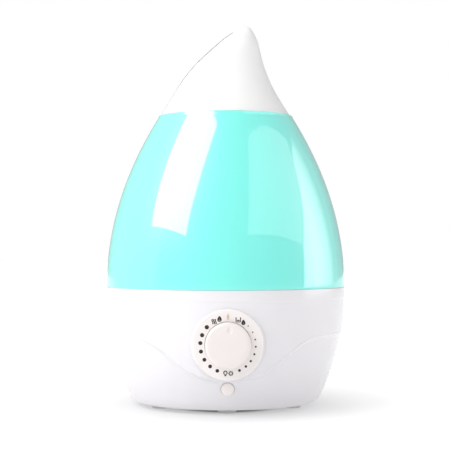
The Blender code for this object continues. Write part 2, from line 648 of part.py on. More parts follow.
def make_valve():
    """Open here: the post in the base holds the plunger up, off the hole in the cap."""
    seal_low = CAP_PLATE_TOP_Z + VALVE_TRAVEL + 0.0002
    head_low = seal_low + 0.0012 + GAP
    head_top = head_low + 0.0014
    turned(
        "valve_plunger",
        [(0, 0.0885), (STEM_R, 0.0885), (STEM_R, head_top), (0.0070, head_top), (0.0070, head_low),
         (STEM_R, head_low), (STEM_R, 0.0676), (0, 0.0676)],
        steps=16, colour=WHITE, rough=0.4, at=(0, RECESS_Y, 0),
    )
    tube("valve_seal", 0.0021, 0.0066, seal_low, seal_low + 0.0012, steps=16, colour=RUBBER, rough=0.8,
         at=(0, RECESS_Y, 0))
    turns, points, coil_r, wire_r = 3, 9, 0.0042, 0.0004
    low, high = head_top + wire_r + GAP, CAP_TOP_Z - wire_r - GAP
    coil = []
    for i in range(turns * points + 1):
        angle = 2 * math.pi * i / points
        height = low + (high - low) * i / (turns * points)
        coil.append((coil_r * math.cos(angle), coil_r * math.sin(angle), height))
    wire("valve_spring", coil, wire_r, colour=STEEL, rough=0.3, metal=1.0, at=(0, RECESS_Y, 0))


# ---------------------------------------------------------------- nozzle


def make_collar():
    """The ring that stands in the tank's mouth, with the plate that stops splashes."""
    low = TANK_DECK_Z + GAP
    outer = [(COLLAR_R - 0.0041, 0.2085), (COLLAR_R - 0.0016, 0.2045), (COLLAR_R, 0.2030), (COLLAR_R, low)]
    inner = [(radius - THIN, height) for radius, height in reversed(outer)]
    turned("nozzle_collar", outer + inner, ring=True, steps=STEPS, colour=WHITE, rough=0.4)
    baffle = turned(
        "splash_baffle",
        [(0, 0.2045), (0.0100, 0.2038), (BAFFLE_R, 0.2010), (BAFFLE_R, 0.1998), (0.0100, 0.2026), (0, 0.2033)],
        colour=WHITE, rough=0.4,
    )
    arms = bmesh.new()
    for i in range(3):
        made = add_box(arms, (0.0150, -0.0015, 0.1998), (COLLAR_R - THIN - GAP, 0.0015, 0.2018))
        bmesh.ops.rotate(arms, verts=made, matrix=Matrix.Rotation(0.3 + math.tau * i / 3, 3, "Z"))
    join(baffle, place("baffle_arms", finish_mesh("baffle_arms", arms, smooth=False)))


def nozzle_rings(sides):
    """Level rings up the drop's tip: round, with the slanted mist face cut off the left."""
    rings = []
    shoulder_z = NOZZLE_RIGHT[-1][0]
    for z in [NOZZLE_BOTTOM_Z - NOZZLE_TRIM] + spaced(NOZZLE_BOTTOM_Z, shoulder_z, 9):
        shape_z = max(z, NOZZLE_BOTTOM_Z)
        centre = through(NOZZLE_LEAN, shape_z)
        radius = through(NOZZLE_RIGHT, shape_z) - centre
        face = through(NOZZLE_FACE, shape_z)
        ring = []
        for i in range(sides):
            angle = math.tau * i / sides
            x = centre + radius * math.cos(angle)
            ring.append((max(x, face), radius * math.sin(angle), z))
        rings.append(ring)
    centre, rise = through(NOZZLE_LEAN, shoulder_z), NOZZLE_TOP_Z - shoulder_z
    radius = through(NOZZLE_RIGHT, shoulder_z) - centre
    for part_way in (0.45, 0.8):
        x0 = centre + (NOZZLE_TIP_X - centre) * part_way
        r0 = radius * (1 - part_way**2)
        rings.append([
            (x0 + r0 * math.cos(math.tau * i / sides), r0 * math.sin(math.tau * i / sides),
             shoulder_z + rise * part_way) for i in range(sides)
        ])
    return rings


def make_nozzle():
    sides = 32
    shape = bmesh.new()
    rings = [[shape.verts.new(p) for p in ring] for ring in nozzle_rings(sides)]
    for low, high in zip(rings, rings[1:]):
        for i in range(sides):
            j = (i + 1) % sides
            shape.faces.new((low[i], low[j], high[j], high[i]))
    tip = shape.verts.new((NOZZLE_TIP_X, 0, NOZZLE_TOP_Z))
    for i in range(sides):
        shape.faces.new((rings[-1][i], rings[-1][(i + 1) % sides], tip))
    cap = place("nozzle_cap", finish_mesh("nozzle_cap", shape), colour=WHITE, rough=0.35)
    wall = cap.modifiers.new("wall", "SOLIDIFY")
    wall.thickness = THIN
    wall.offset = -1
    outlet = rod("mist_outlet", 0.0100, -0.0150, 0.0150, sides=ROUND, at=(-0.0195, 0, 0.2400),
                 turn=(0, math.radians(-46), 0))
    scale_mesh(outlet, (1.5, 1.0, 1.0))
    trim = block("nozzle_trim", (-0.06, -0.06, NOZZLE_BOTTOM_Z - 0.02), (0.06, 0.06, NOZZLE_BOTTOM_Z))
    cut(cap, outlet, trim)


def scale_mesh(item, factors):
    """Scales the mesh itself, so that the object keeps a scale of one."""
    shape = bmesh.new()
    shape.from_mesh(item.data)
    bmesh.ops.scale(shape, verts=shape.verts, vec=factors)
    shape.to_mesh(item.data)
    shape.free()


# ---------------------------------------------------------------- the whole object

make_base_shell()
make_bottom_cover()
make_basin()
make_wells()
make_columns()
make_mist_maker()
make_fan()
make_lamp()
make_main_board()
make_inlet()
make_float()
make_dial()
make_knob()
make_button()
make_tank()
make_cap()
make_valve()
make_collar()
make_nozzle()
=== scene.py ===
"""The looks of the cool mist humidifier, built round its CAD frame.

Metres, in the frame of the CAD. The front faces -Y. Turned pieces are revolved in mesh code, either
about the body's upright axis or about the dial's axis, which points to the front.
"""

from math import acos, asin, cos, exp, pi, radians, sin, sqrt, tau

import bmesh
import bpy
from mathutils import Matrix, Vector


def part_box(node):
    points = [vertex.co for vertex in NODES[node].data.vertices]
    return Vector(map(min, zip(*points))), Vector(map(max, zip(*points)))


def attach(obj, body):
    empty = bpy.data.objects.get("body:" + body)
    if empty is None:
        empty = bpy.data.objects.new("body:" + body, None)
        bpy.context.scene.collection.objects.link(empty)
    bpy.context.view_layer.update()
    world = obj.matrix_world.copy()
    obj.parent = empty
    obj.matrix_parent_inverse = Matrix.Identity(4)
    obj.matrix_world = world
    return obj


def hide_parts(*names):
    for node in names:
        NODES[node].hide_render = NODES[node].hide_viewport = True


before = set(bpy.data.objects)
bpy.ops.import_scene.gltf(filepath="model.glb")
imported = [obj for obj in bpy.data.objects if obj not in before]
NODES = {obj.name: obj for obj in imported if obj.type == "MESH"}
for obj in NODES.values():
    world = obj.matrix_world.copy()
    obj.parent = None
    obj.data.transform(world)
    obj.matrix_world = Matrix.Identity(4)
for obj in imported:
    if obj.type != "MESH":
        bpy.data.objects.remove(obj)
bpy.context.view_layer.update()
SCENE = bpy.context.scene
MM = 0.001

# ---- places, from the frame

BASE_LOW, BASE_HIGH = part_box("base_shell")
TANK_LOW, TANK_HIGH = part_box("tank_shell")
NOZZLE_LOW, NOZZLE_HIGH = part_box("nozzle_cap")
KNOB_LOW, KNOB_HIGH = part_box("mist_knob")
PLATE_LOW, PLATE_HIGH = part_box("dial_plate")
BUTTON_LOW, BUTTON_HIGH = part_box("light_button")

AXIS_Y = (TANK_LOW.y + TANK_HIGH.y) / 2
BODY_R = (TANK_HIGH.x - TANK_LOW.x) / 2
JOINT_Z = (TANK_LOW.z + BASE_HIGH.z) / 2
BASE_BOTTOM_Z = BASE_LOW.z
TANK_TOP_Z = TANK_HIGH.z
DIAL_Z = (KNOB_LOW.z + KNOB_HIGH.z) / 2
BUTTON_Z = (BUTTON_LOW.z + BUTTON_HIGH.z) / 2
BOSS_FRONT = AXIS_Y - BASE_LOW.y     # distances forward of the body's axis
PLATE_FRONT = AXIS_Y - PLATE_LOW.y
KNOB_FRONT = AXIS_Y - KNOB_LOW.y
BUTTON_FRONT = AXIS_Y - BUTTON_LOW.y
DIAL_R = 23.3 * MM
KNOB_R = (KNOB_HIGH.x - KNOB_LOW.x) / 2
KNOB_HOLE_R = KNOB_R + 0.22 * MM
JOINT_GAP = 0.1 * MM           # as seen; the tank rests on the base
SHELL = 2.5 * MM
NECK_Y = 46 * MM               # the filler neck, its cap and the valve stand this far behind the axis
TUBE_HOLE_R = 16.6 * MM        # where the mist tube passes the tank's floor and its mouth
DUCT_HOLE_R = 15.4 * MM
TANK_CURVE = (0.180, 2.03)     # the wall narrows as (height / length) ** power
BASE_CURVE = (0.164, 2.10)

# ---- mesh helpers


def new_object(name, shape):
    """Cleans a bmesh and makes it an object, which is a piece or a cutter."""
    bmesh.ops.remove_doubles(shape, verts=shape.verts, dist=1e-6)
    bmesh.ops.recalc_face_normals(shape, faces=shape.faces)
    mesh = bpy.data.meshes.new(name)
    shape.to_mesh(mesh)
    shape.free()
    made = bpy.data.objects.new(name, mesh)
    SCENE.collection.objects.link(made)
    return made


def smooth(piece, sharp):
    """Shades the piece smooth, apart from edges sharper than so many degrees."""
    piece.data.shade_smooth()
    piece.data.set_sharp_from_angle(angle=radians(sharp))


def mesh_piece(name, shape, body, look, slot, *nodes, sharp=32):
    """Turns a bmesh into a piece that rides on a body, wears a material and stands for CAD nodes."""
    piece = new_object(name, shape)
    piece.data.materials.append(look)
    smooth(piece, sharp)
    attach(piece, body)
    if nodes:
        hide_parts(*nodes)
    return piece


def add_rings(shape, rings, loop=False):
    """Skins a row of rings of equal length. With loop the last ring joins the first."""
    made = [[shape.verts.new(point) for point in ring] for ring in rings]
    pairs = list(zip(made, made[1:])) + ([(made[-1], made[0])] if loop else [])
    for one, two in pairs:
        for i in range(len(one)):
            j = (i + 1) % len(one)
            shape.faces.new((one[i], one[j], two[j], two[i]))
    return made


def upright(x=0.0, y=0.0):
    """Places a turned profile about an upright axis, given from the body's axis."""
    return lambda radius, along, angle: (
        x + radius * cos(angle), AXIS_Y + y + radius * sin(angle), along)


def about(node):
    """Places a turned profile about a node's own upright axis."""
    low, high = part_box(node)
    return upright((low.x + high.x) / 2, (low.y + high.y) / 2 - AXIS_Y)


def half_width(low, high):
    return (high.x - low.x) / 2


def forward(z, x=0.0):
    """Places a turned profile about an axis that points to the front at height z."""
    return lambda radius, along, angle: (
        x + radius * cos(angle), AXIS_Y - along, z + radius * sin(angle))


def add_turned(shape, profile, place, steps=96, ring=False):
    """Revolves (radius, distance along the axis) points. A ring's profile is a closed loop."""
    rings = [[place(max(radius, 1e-7), along, tau * i / steps) for i in range(steps)]
             for radius, along in profile]
    add_rings(shape, rings, loop=ring)


def rounded(profile, radius, ring=False, steps=3):
    """The profile with each of its corners rounded off."""
    count = len(profile)
    out = []
    for i, (x, y) in enumerate(profile):
        if not ring and i in (0, count - 1):
            out.append((x, y))
            continue
        here = Vector((x, y))
        before = Vector(profile[i - 1]) - here
        after = Vector(profile[(i + 1) % count]) - here
        reach = min(radius, before.length * 0.45, after.length * 0.45)
        start = here + before.normalized() * reach
        end = here + after.normalized() * reach
        for k in range(steps + 1):
            t = k / steps
            point = start * (1 - t) ** 2 + here * (2 * t * (1 - t)) + end * t**2
            out.append((point.x, point.y))
    return out


def turned(name, profile, place, body, look, slot, *nodes, steps=96, ring=False, soft=0.0, sharp=32):
    """A piece made of one turned profile, with its corners rounded by soft millimetres."""
    if soft:
        profile = rounded(profile, soft * MM, ring)
    shape = bmesh.new()
    add_turned(shape, profile, place, steps, ring)
    return mesh_piece(name, shape, body, look, slot, *nodes, sharp=sharp)


def in_mm(*points):
    return [(a * MM, b * MM) for a, b in points]


def tube_profile(inner, outer, low, high):
    """A plain tube's section, from its inner and outer radius and its two ends."""
    return [(outer, high), (outer, low), (inner, low), (inner, high)]


def add_box(shape, low, high, turn=None):
    """Adds a box between two corners, moved by the matrix turn. It returns the box's vertices."""
    made = bmesh.ops.create_cube(shape, size=1.0)["verts"]
    bmesh.ops.scale(shape, verts=made, vec=[b - a for a, b in zip(low, high)])
    bmesh.ops.translate(shape, verts=made, vec=[(a + b) / 2 for a, b in zip(low, high)])
    if turn is not None:
        bmesh.ops.transform(shape, matrix=turn, verts=made)
    return made


def carve(piece, *tools, operation="DIFFERENCE", sharp=32):
    """Applies each tool to the piece's mesh and removes the tool."""
    for tool in tools:
        change = piece.modifiers.new("carve", "BOOLEAN")
        change.operation = operation
        change.object = tool
        bpy.context.view_layer.update()
        graph = bpy.context.evaluated_depsgraph_get()
        mesh = bpy.data.meshes.new_from_object(piece.evaluated_get(graph))
        piece.modifiers.remove(change)
        piece.data = mesh
        bpy.data.objects.remove(tool, do_unlink=True)
    smooth(piece, sharp)


def peg(name, radius, low, high, place, steps=48):
    """A round cutter."""
    shape = bmesh.new()
    add_turned(shape, [(0, high), (radius, high), (radius, low), (0, low)], place, steps)
    return new_object(name, shape)


def spaced(low, high, count):
    """Evenly spaced numbers, both ends included."""
    return [low + (high - low) * i / (count - 1) for i in range(count)]


def ease(low, high, value):
    """0 at low, 1 at high, and smooth between them."""
    t = max(0.0, min(1.0, (value - low) / (high - low)))
    return t * t * (3 - 2 * t)


def through(points, at):
    """The smooth curve through (height, value) points, read at one height."""
    last = len(points) - 1
    slopes = []
    for i in range(len(points)):
        before, after = points[max(i - 1, 0)], points[min(i + 1, last)]
        slopes.append((after[1] - before[1]) / (after[0] - before[0]))
    i = max(0, min(last - 1, sum(at >= height for height, _ in points) - 1))
    (low, start), (high, end) = points[i], points[i + 1]
    span = high - low
    t = (at - low) / span
    return (
        start * (2 * t**3 - 3 * t**2 + 1)
        + end * (3 * t**2 - 2 * t**3)
        + span * slopes[i] * (t**3 - 2 * t**2 + t)
        + span * slopes[i + 1] * (t**3 - t**2)
    )


def tank_radius(height):
    length, power = TANK_CURVE
    return BODY_R * (1 - (max(height - JOINT_Z, 0) / length) ** power)


def base_radius(height):
    length, power = BASE_CURVE
    return BODY_R * (1 - (max(JOINT_Z - height, 0) / length) ** power)


# ---- materials


def new_material(name):
    """A material with nodes: the material, its node tree's nodes and its own shader."""
    made = bpy.data.materials.new(name)
    made.use_nodes = True
    nodes = made.node_tree.nodes
    return made, nodes, nodes["Principled BSDF"]


def new_nodes(nodes, *kinds):
    return [nodes.new("ShaderNode" + kind) for kind in kinds]


def put(node, values):
    """Sets a node's inputs."""
    for socket, value in values.items():
        node.inputs[socket].default_value = value


def join(source, output, target, socket):
    source.id_data.links.new(source.outputs[output], target.inputs[socket])


ROUGH_SPREAD = 0.05      # how much the gloss of a surface varies, either way
GRAIN_DEPTH = 0.1 * MM


def surface(name, colour, rough, metal=0.0, vary=0.03, vary_scale=40.0, grain=0.05, grain_scale=900.0,
            coat=0.0, coat_rough=0.05, coat_ior=1.5, sss=0.0, sss_size=3 * MM, clear=0.0, ior=1.47):
    """A moulded or metal surface: slight cloudy colour, uneven gloss and a fine grain.

    clear is the share of light that passes through it.
    """
    made, nodes, shader = new_material(name)
    where, cloud, tint, gloss, fine, bump = new_nodes(
        nodes, "TexCoord", "TexNoise", "ValToRGB", "MapRange", "TexNoise", "Bump")
    put(cloud, {"Scale": vary_scale, "Detail": 3.0})
    for stop, place, change in zip(tint.color_ramp.elements, (0.3, 0.7), (-vary, vary)):
        stop.position = place
        stop.color = (*[min(1, c * (1 + change)) for c in colour], 1)
    put(gloss, {"To Min": max(0.01, rough - ROUGH_SPREAD), "To Max": rough + ROUGH_SPREAD})
    put(fine, {"Scale": grain_scale, "Detail": 2.0})
    put(bump, {"Strength": grain, "Distance": GRAIN_DEPTH})
    put(shader, {
        "Metallic": metal, "IOR": ior, "Coat Weight": coat, "Coat Roughness": coat_rough,
        "Coat IOR": coat_ior, "Subsurface Weight": sss, "Subsurface Scale": sss_size,
        "Subsurface Radius": (1.0, 1.0, 1.0), "Transmission Weight": clear,
    })
    join(where, "Object", cloud, "Vector")
    join(cloud, "Fac", tint, "Fac")
    join(tint, "Color", shader, "Base Color")
    join(cloud, "Fac", gloss, "Value")
    join(gloss, "Result", shader, "Roughness")
    join(where, "Object", fine, "Vector")
    join(fine, "Fac", bump, "Height")
    join(bump, "Normal", shader, "Normal")
    return made


WHITE = surface("white_plastic", (0.84, 0.825, 0.85), 0.24, vary=0.012, grain=0.03, coat=0.35,
                coat_rough=0.12, sss=0.15, sss_size=1.5 * MM)
NOZZLE_WHITE = surface("nozzle_plastic", (0.93, 0.92, 0.915), 0.30, vary=0.012, grain=0.03, sss=0.2,
                       sss_size=2 * MM)
INNER_WHITE = surface("inner_plastic", (0.82, 0.82, 0.81), 0.38, vary=0.02, grain=0.08, grain_scale=600)
INSIDE = ("base", INNER_WHITE, "white_plastic")      # body, look and slot of most pieces in the base
WARM = surface("warm_plastic", (0.86, 0.80, 0.78), 0.30, vary=0.012, grain=0.05, sss=0.1, sss_size=1 * MM)
BUTTON = surface("button_plastic", (0.93, 0.87, 0.85), 0.30, vary=0.012, grain=0.05, sss=0.1,
                 sss_size=1 * MM)
# The grey of the bead on the nozzle's rim: painted shade, standing in for the shaded edge of the slanted
# face.
RIM_SHADE_GREY = surface("painted_rim_shade", (0.46, 0.46, 0.47), 0.5, vary=0.02, grain=0.1)
PLATE = surface("plate_plastic", (0.90, 0.855, 0.845), 0.33, vary=0.012, grain=0.06)
TEAL = surface("teal_plastic", (0.21, 0.99, 0.86), 0.35, vary=0.01, vary_scale=14, grain=0.01, coat=1.0,
               coat_rough=0.03, coat_ior=1.75, sss=0.3, sss_size=3 * MM, clear=0.03, ior=1.49)
MILKY = surface("milky_plastic", (0.62, 0.92, 0.90), 0.35, vary=0.02, grain=0.03, clear=0.4)
RUBBER = surface("rubber", (0.62, 0.62, 0.63), 0.75, vary=0.05, grain=0.3, grain_scale=1500)
SEAL = surface("seal_rubber", (0.30, 0.30, 0.31), 0.7, vary=0.06, grain=0.3, grain_scale=1500)
PALE_RUBBER = surface("pale_rubber", (0.72, 0.70, 0.66), 0.6, vary=0.04, grain=0.2, grain_scale=1500)
INK = surface("printed_ink", (0.018, 0.014, 0.013), 0.45, vary=0.2, grain=0.1)
DARK = surface("black_plastic", (0.022, 0.022, 0.024), 0.45, vary=0.1, grain=0.15)
STEEL = surface("steel", (0.60, 0.60, 0.61), 0.28, metal=1.0, vary=0.04, vary_scale=200, grain=0.12)
ALUMINIUM = surface("aluminium", (0.62, 0.62, 0.64), 0.38, metal=1.0, vary=0.05, vary_scale=300, grain=0.2)
BRASS = surface("brass", (0.76, 0.58, 0.30), 0.25, metal=1.0, vary=0.05, vary_scale=200, grain=0.1)
COPPER = surface("coil_copper", (0.50, 0.20, 0.07), 0.3, metal=0.6, vary=0.15, vary_scale=900, grain=0.5)
BOARD = surface("circuit_board", (0.02, 0.15, 0.07), 0.35, vary=0.12, vary_scale=500, grain=0.3, coat=0.5)
SLEEVE = surface("capacitor_sleeve", (0.03, 0.05, 0.12), 0.3, vary=0.1, grain=0.1)
CLEAR = surface("clear_lens", (0.93, 0.95, 0.96), 0.05, vary=0.01, grain=0.01, clear=0.9)
ORANGE = surface("orange_lens", (0.90, 0.68, 0.52), 0.15, vary=0.03, grain=0.02, coat=0.5, sss=0.3,
                 sss_size=1 * MM, clear=0.15)
FOAM = surface("float_foam", (0.84, 0.83, 0.80), 0.7, vary=0.04, vary_scale=300, grain=0.6, grain_scale=2500)

# ---- base: casing

WAVE_SIDE_Z = 50.3 * MM       # the wave's edge, round the sides and the back
WAVE_DIP = 27.1 * MM          # how far it drops under the dial
WAVE_WIDTH = radians(30.7)
# The panel's edge as an S-curve: (mm above the wave, share of the panel's rise).
WAVE_EDGE = ((1.2, 0.97), (0.85, 0.89), (0.5, 0.75), (0.15, 0.56), (-0.2, 0.35), (-0.55, 0.17), (-0.9, 0.05),
             (-1.2, 0.0))
PANEL_STEP = 0.50 * MM        # the panel's rise at its top edge
BAND_Z = 75.4 * MM            # a line round the top: below it the casing is a little smaller
BAND_HALF = 0.35 * MM
BAND_STEP = 0.22 * MM
CORNER_Z = 7.5 * MM           # the bowl ends here, and its bottom corner starts
COLUMNS = 288
BUTTON_HOLE_R = 4.62 * MM
INLET_HOLE_R = 5.0 * MM


def dip_at(angle):
    """1 straight under the dial, falling to 0 at the sides. Angle 0 is the front."""
    turn = abs((angle + pi) % tau - pi)
    return exp(-((turn / WAVE_WIDTH) ** 3))


def wave_height(angle):
    return WAVE_SIDE_Z - WAVE_DIP * dip_at(angle)


def panel_rise(angle, height):
    """How far the upper panel stands out from the bowl's curve."""
    edge = wave_height(angle)
    lower = 1 - ease(edge, JOINT_Z - 6 * MM, height)
    return PANEL_STEP + (0.40 + 1.9 * dip_at(angle)) * MM * lower


def base_front(x, z):
    """Distance forward of the axis of the base's outer surface at x, z."""
    radius = base_radius(z) + 0.45 * MM
    for _ in range(3):
        angle = asin(max(-1, min(1, x / radius)))
        rise = panel_rise(angle, z) if z > wave_height(angle) else 0
        radius = base_radius(z) + rise
    return sqrt(max(radius**2 - x**2, 0))


def make_base_shell():
    """The bowl, ring by ring: down its outside, round its bottom corner and up its inside."""
    angles = [tau * i / COLUMNS for i in range(COLUMNS)]
    top = JOINT_Z - JOINT_GAP / 2
    rings = []

    def ring(radius_and_height):
        made = []
        for a in angles:
            radius, z = radius_and_height(a)
            made.append((radius * sin(a), AXIS_Y - radius * cos(a), z))
        rings.append(made)

    def plain_ring(radius, z):
        ring(lambda a: (radius, z))

    def panel(a, z):
        step_in = BAND_STEP * ease(BAND_Z + BAND_HALF, BAND_Z - BAND_HALF, z)
        return min(base_radius(z) + panel_rise(a, z), BODY_R + 0.35 * MM) - step_in, z

    def edge(a, above, share):
        z = wave_height(a)
        return base_radius(z + above) + share * panel_rise(a, z), z + above

    def bowl(a, part):
        start = wave_height(a) + WAVE_EDGE[-1][0] * MM
        z = start + (CORNER_Z - start) * part
        return base_radius(z), z

    plain_ring(BODY_R - SHELL, top)
    plain_ring(BODY_R + 0.15 * MM, top)
    plain_ring(BODY_R + 0.25 * MM, top - 0.1 * MM)
    band_low = BAND_Z - 0.8 * MM
    band = (BAND_Z + 0.6 * MM, BAND_Z + BAND_HALF, BAND_Z, BAND_Z - BAND_HALF, band_low)
    for z in (top - 2 * MM, top - 4.5 * MM, *band):
        ring(lambda a: panel(a, z))
    for part in spaced(0.06, 1.0, 17):
        ring(lambda a: panel(a, band_low + (wave_height(a) + 1.6 * MM - band_low) * part))
    for above, share in WAVE_EDGE:
        ring(lambda a: edge(a, above * MM, share))
    for part in spaced(0.05, 1.0, 16):
        ring(lambda a: bowl(a, part))
    inner = in_mm((66.2, 5.0), (65.2, 3.8), (64.0, 3.0))
    inner += [(63.0 * MM, BASE_BOTTOM_Z), (60.6 * MM, BASE_BOTTOM_Z), (60.4 * MM, BASE_BOTTOM_Z + 0.2 * MM)]
    inner += in_mm((60.4, 5.2), (63.0, 6.2))
    inner += [(base_radius(z) - SHELL, z) for z in spaced(8 * MM, top - 6 * MM, 10)]
    for radius, z in inner:
        plain_ring(radius, z)
    shape = bmesh.new()
    add_rings(shape, rings, loop=True)
    shell = mesh_piece("base_casing", shape, "base", WHITE, "white_plastic", "base_shell", sharp=40)
    carve(
        shell,
        peg("cut_button", BUTTON_HOLE_R, 60 * MM, 90 * MM, forward(BUTTON_Z)),
        peg("cut_knob", KNOB_HOLE_R, 70 * MM, 100 * MM, forward(DIAL_Z), steps=96),
        peg("cut_inlet", INLET_HOLE_R, -90 * MM, -60 * MM, forward(BUTTON_Z)),
        sharp=40,
    )


def make_boss():
    """The dial's round boss: its side runs back from the plate and flares onto the panel."""
    steps = 144
    turns = [(cos(tau * i / steps), sin(tau * i / steps)) for i in range(steps)]
    edge_back = 0.8 * MM
    edge = BOSS_FRONT - edge_back
    profile = ((KNOB_HOLE_R, 0.0), (DIAL_R - 1.2 * MM, 0.0), (DIAL_R - 0.55 * MM, 0.05 * MM),
               (DIAL_R - 0.15 * MM, 0.3 * MM), (DIAL_R, edge_back))
    rings = []
    for radius, back in profile:
        rings.append([(radius * ux, AXIS_Y - BOSS_FRONT + back, DIAL_Z + radius * uz) for ux, uz in turns])
    # How far each ring of the flare stands out, in mm, and how near it has come to the panel.
    for out_by, close in ((0.05, 0.70), (0.15, 0.88), (0.4, 0.96), (0.8, 0.99), (1.3, 1.0)):
        ring = []
        for ux, uz in turns:
            full = max(edge - base_front(DIAL_R * ux, DIAL_Z + DIAL_R * uz), 0)
            share = min(1.0, full / (2.5 * MM))
            out = DIAL_R + out_by * MM * share
            x, z = out * ux, DIAL_Z + out * uz
            depth = max(edge - base_front(x, z), 0)
            sink = (0.15 if close == 1.0 else 0.0) * MM + (1 - share) * close * 1.2 * MM
            ring.append((x, AXIS_Y - (edge - depth * close) + sink, z))
        rings.append(ring)
    shape = bmesh.new()
    add_rings(shape, rings)
    boss = mesh_piece("dial_boss", shape, "base", WHITE, "white_plastic", sharp=50)
    wall = boss.modifiers.new("wall", "SOLIDIFY")
    wall.thickness = 1.0 * MM
    wall.offset = -1


SCREWS = range(1, 5)
FEET = range(1, 7)
SCREW_HOLE_R = 1.7 * MM
SCREW_HEAD_R = 3.0 * MM
COVER_CUT_TOP = 8 * MM


def make_underside():
    """The bottom cover with its two round grooves, the intake slots and the sinks for the screws."""
    low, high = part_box("bottom_cover")
    radius = half_width(low, high)
    cover = turned(
        "bottom_plate",
        [
            (0, high.z), (radius, high.z), (radius, low.z), (47.0 * MM, low.z), (46.6 * MM, low.z + 0.5 * MM),
            (45.0 * MM, low.z + 0.5 * MM), (44.6 * MM, low.z), (16.0 * MM, low.z),
            (15.6 * MM, low.z + 0.4 * MM), (0, low.z + 0.4 * MM),
        ],
        upright(), *INSIDE, "bottom_cover", steps=128, soft=0.15)
    slots = bmesh.new()
    for x in spaced(-52 * MM, -32 * MM, 5):
        add_box(slots, (x, AXIS_Y - 15 * MM, 0), (x + 3 * MM, AXIS_Y + 15 * MM, COVER_CUT_TOP))
    tools = [new_object("cut_slots", slots)]
    sink_r, sink_z = SCREW_HEAD_R + 0.4 * MM, low.z + 0.3 * MM
    sink_profile = [(0, COVER_CUT_TOP), (SCREW_HOLE_R, COVER_CUT_TOP), (SCREW_HOLE_R, sink_z),
                    (sink_r, sink_z), (sink_r, 0), (0, 0)]
    for i in SCREWS:
        sink = bmesh.new()
        add_turned(sink, sink_profile, about(f"cover_screw_{i}"), 24)
        tools.append(new_object(f"cut_screw_{i}", sink))
    carve(cover, *tools)
    for i in FEET:
        make_foot(i)
    for i in SCREWS:
        make_screw(i)


def make_foot(number):
    node = f"foot_{number}"
    low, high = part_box(node)
    radius = half_width(low, high)
    turned(
        f"rubber_foot_{number}",
        [(0, high.z), (radius, high.z), (radius, 0.8 * MM), (radius - 0.9 * MM, 0), (radius - 2.2 * MM, 0),
         (radius - 2.5 * MM, 0.3 * MM), (0, 0.3 * MM)],
        about(node), "base", RUBBER, "rubber", node, steps=48, soft=0.3)


def make_screw(number):
    """A countersunk screw with a cross slot, turned a little differently each time."""
    node = f"cover_screw_{number}"
    low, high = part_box(node)
    middle = (low + high) / 2
    neck_r, head_top = 1.3 * MM, 2.7 * MM
    screw = turned(
        f"screw_{number}",
        [(0, high.z), (neck_r, high.z), (neck_r, head_top), (SCREW_HEAD_R, head_top),
         (SCREW_HEAD_R, 2.2 * MM), (2.2 * MM, low.z), (0, low.z)],
        about(node), "base", STEEL, "steel", node, steps=32, soft=0.15)
    slots = []
    slot_low = (-1.7 * MM, -0.3 * MM, low.z - 1 * MM)
    slot_high = (1.7 * MM, 0.3 * MM, low.z + 0.9 * MM)
    for turn in (0, pi / 2):
        slot = bmesh.new()
        spin = Matrix.Translation((middle.x, middle.y, 0)) @ Matrix.Rotation(turn + 0.4 * number, 4, "Z")
        add_box(slot, slot_low, slot_high, turn=spin)
        slots.append(new_object(f"cut_slot_{number}", slot))
    carve(screw, *slots)


# ---- base: dial, knob and button

# The dots' places round the dial, in degrees from the right.
LARGE_DOTS = (139.8, 159.0, 175.8, 193.3, 211.6, 229.8, 247.3)
SMALL_DOTS = (-65.7, -50.2, -35.2, -19.2, -3.4, 11.5, 27.5, 43.5)
DOT_RING_R = 17.9 * MM
INK_SINK = 0.05 * MM          # how deep printed marks reach into the plate


def on_plate(x, z, lift=0.0):
    return (x, AXIS_Y - PLATE_FRONT - lift, DIAL_Z + z)


def add_disc(shape, x, z, radius, lift, steps=24):
    """A printed dot: a very thin disc on the dial plate."""
    place = forward(DIAL_Z + z, x)
    front = PLATE_FRONT + lift
    back = PLATE_FRONT - INK_SINK
    add_turned(shape, [(0, front), (radius, front), (radius, back), (0, back)], place, steps)


def add_stroke(shape, points, width, lift):
    """A printed line through (x, z) points on the plate."""
    rings = []
    for i, (x, z) in enumerate(points):
        ahead = Vector(points[min(i + 1, len(points) - 1)])
        behind = Vector(points[max(i - 1, 0)])
        run = (ahead - behind).normalized()
        side = Vector((-run.y, run.x)) * width / 2
        corners = ((1, lift), (-1, lift), (-1, -INK_SINK), (1, -INK_SINK))
        rings.append([on_plate(x + way * side.x, z + way * side.y, height) for way, height in corners])
    made = add_rings(shape, rings)
    shape.faces.new(made[0])
    shape.faces.new(made[-1])


def arc(x, z, radius, first, last, count=13):
    angles = [radians(first + (last - first) * i / (count - 1)) for i in range(count)]
    return [(x + radius * cos(a), z + radius * sin(a)) for a in angles]


def drop_outline(x, z, width, height, count=24):
    """A water drop standing on its round end."""
    points = []
    for i in range(count + 1):
        t = tau * i / count
        points.append((x + width / 2 * sin(t) * sin(t / 2) ** 1.4,
                       z + height / 2 * cos(t)))
    return points


def icon_mist(shape, x, z, size, width, lift):
    """Three rising waves."""
    for k in (-1, 0, 1):
        wave = [(x + k * size * 0.33 + size * 0.09 * sin(tau * t), z + size * (t - 0.5))
                for t in spaced(0, 1, 13)]
        add_stroke(shape, wave, width, lift)


def icon_drop(shape, x, z, size, width, lift):
    for part in (1.0, 0.45):
        add_stroke(shape, drop_outline(x, z, size * 0.95 * part, size * part), width, lift)


def icon_level(shape, x, z, size, width, lift):
    """A nearly empty basin."""
    half = size * 0.45
    outline = [(x - half, z + half), (x - half, z - half), (x + half, z - half), (x + half, z + half)]
    add_stroke(shape, outline, width, lift)
    add_stroke(shape, [(x - half * 0.6, z - half * 0.35), (x + half * 0.6, z - half * 0.35)], width, lift)


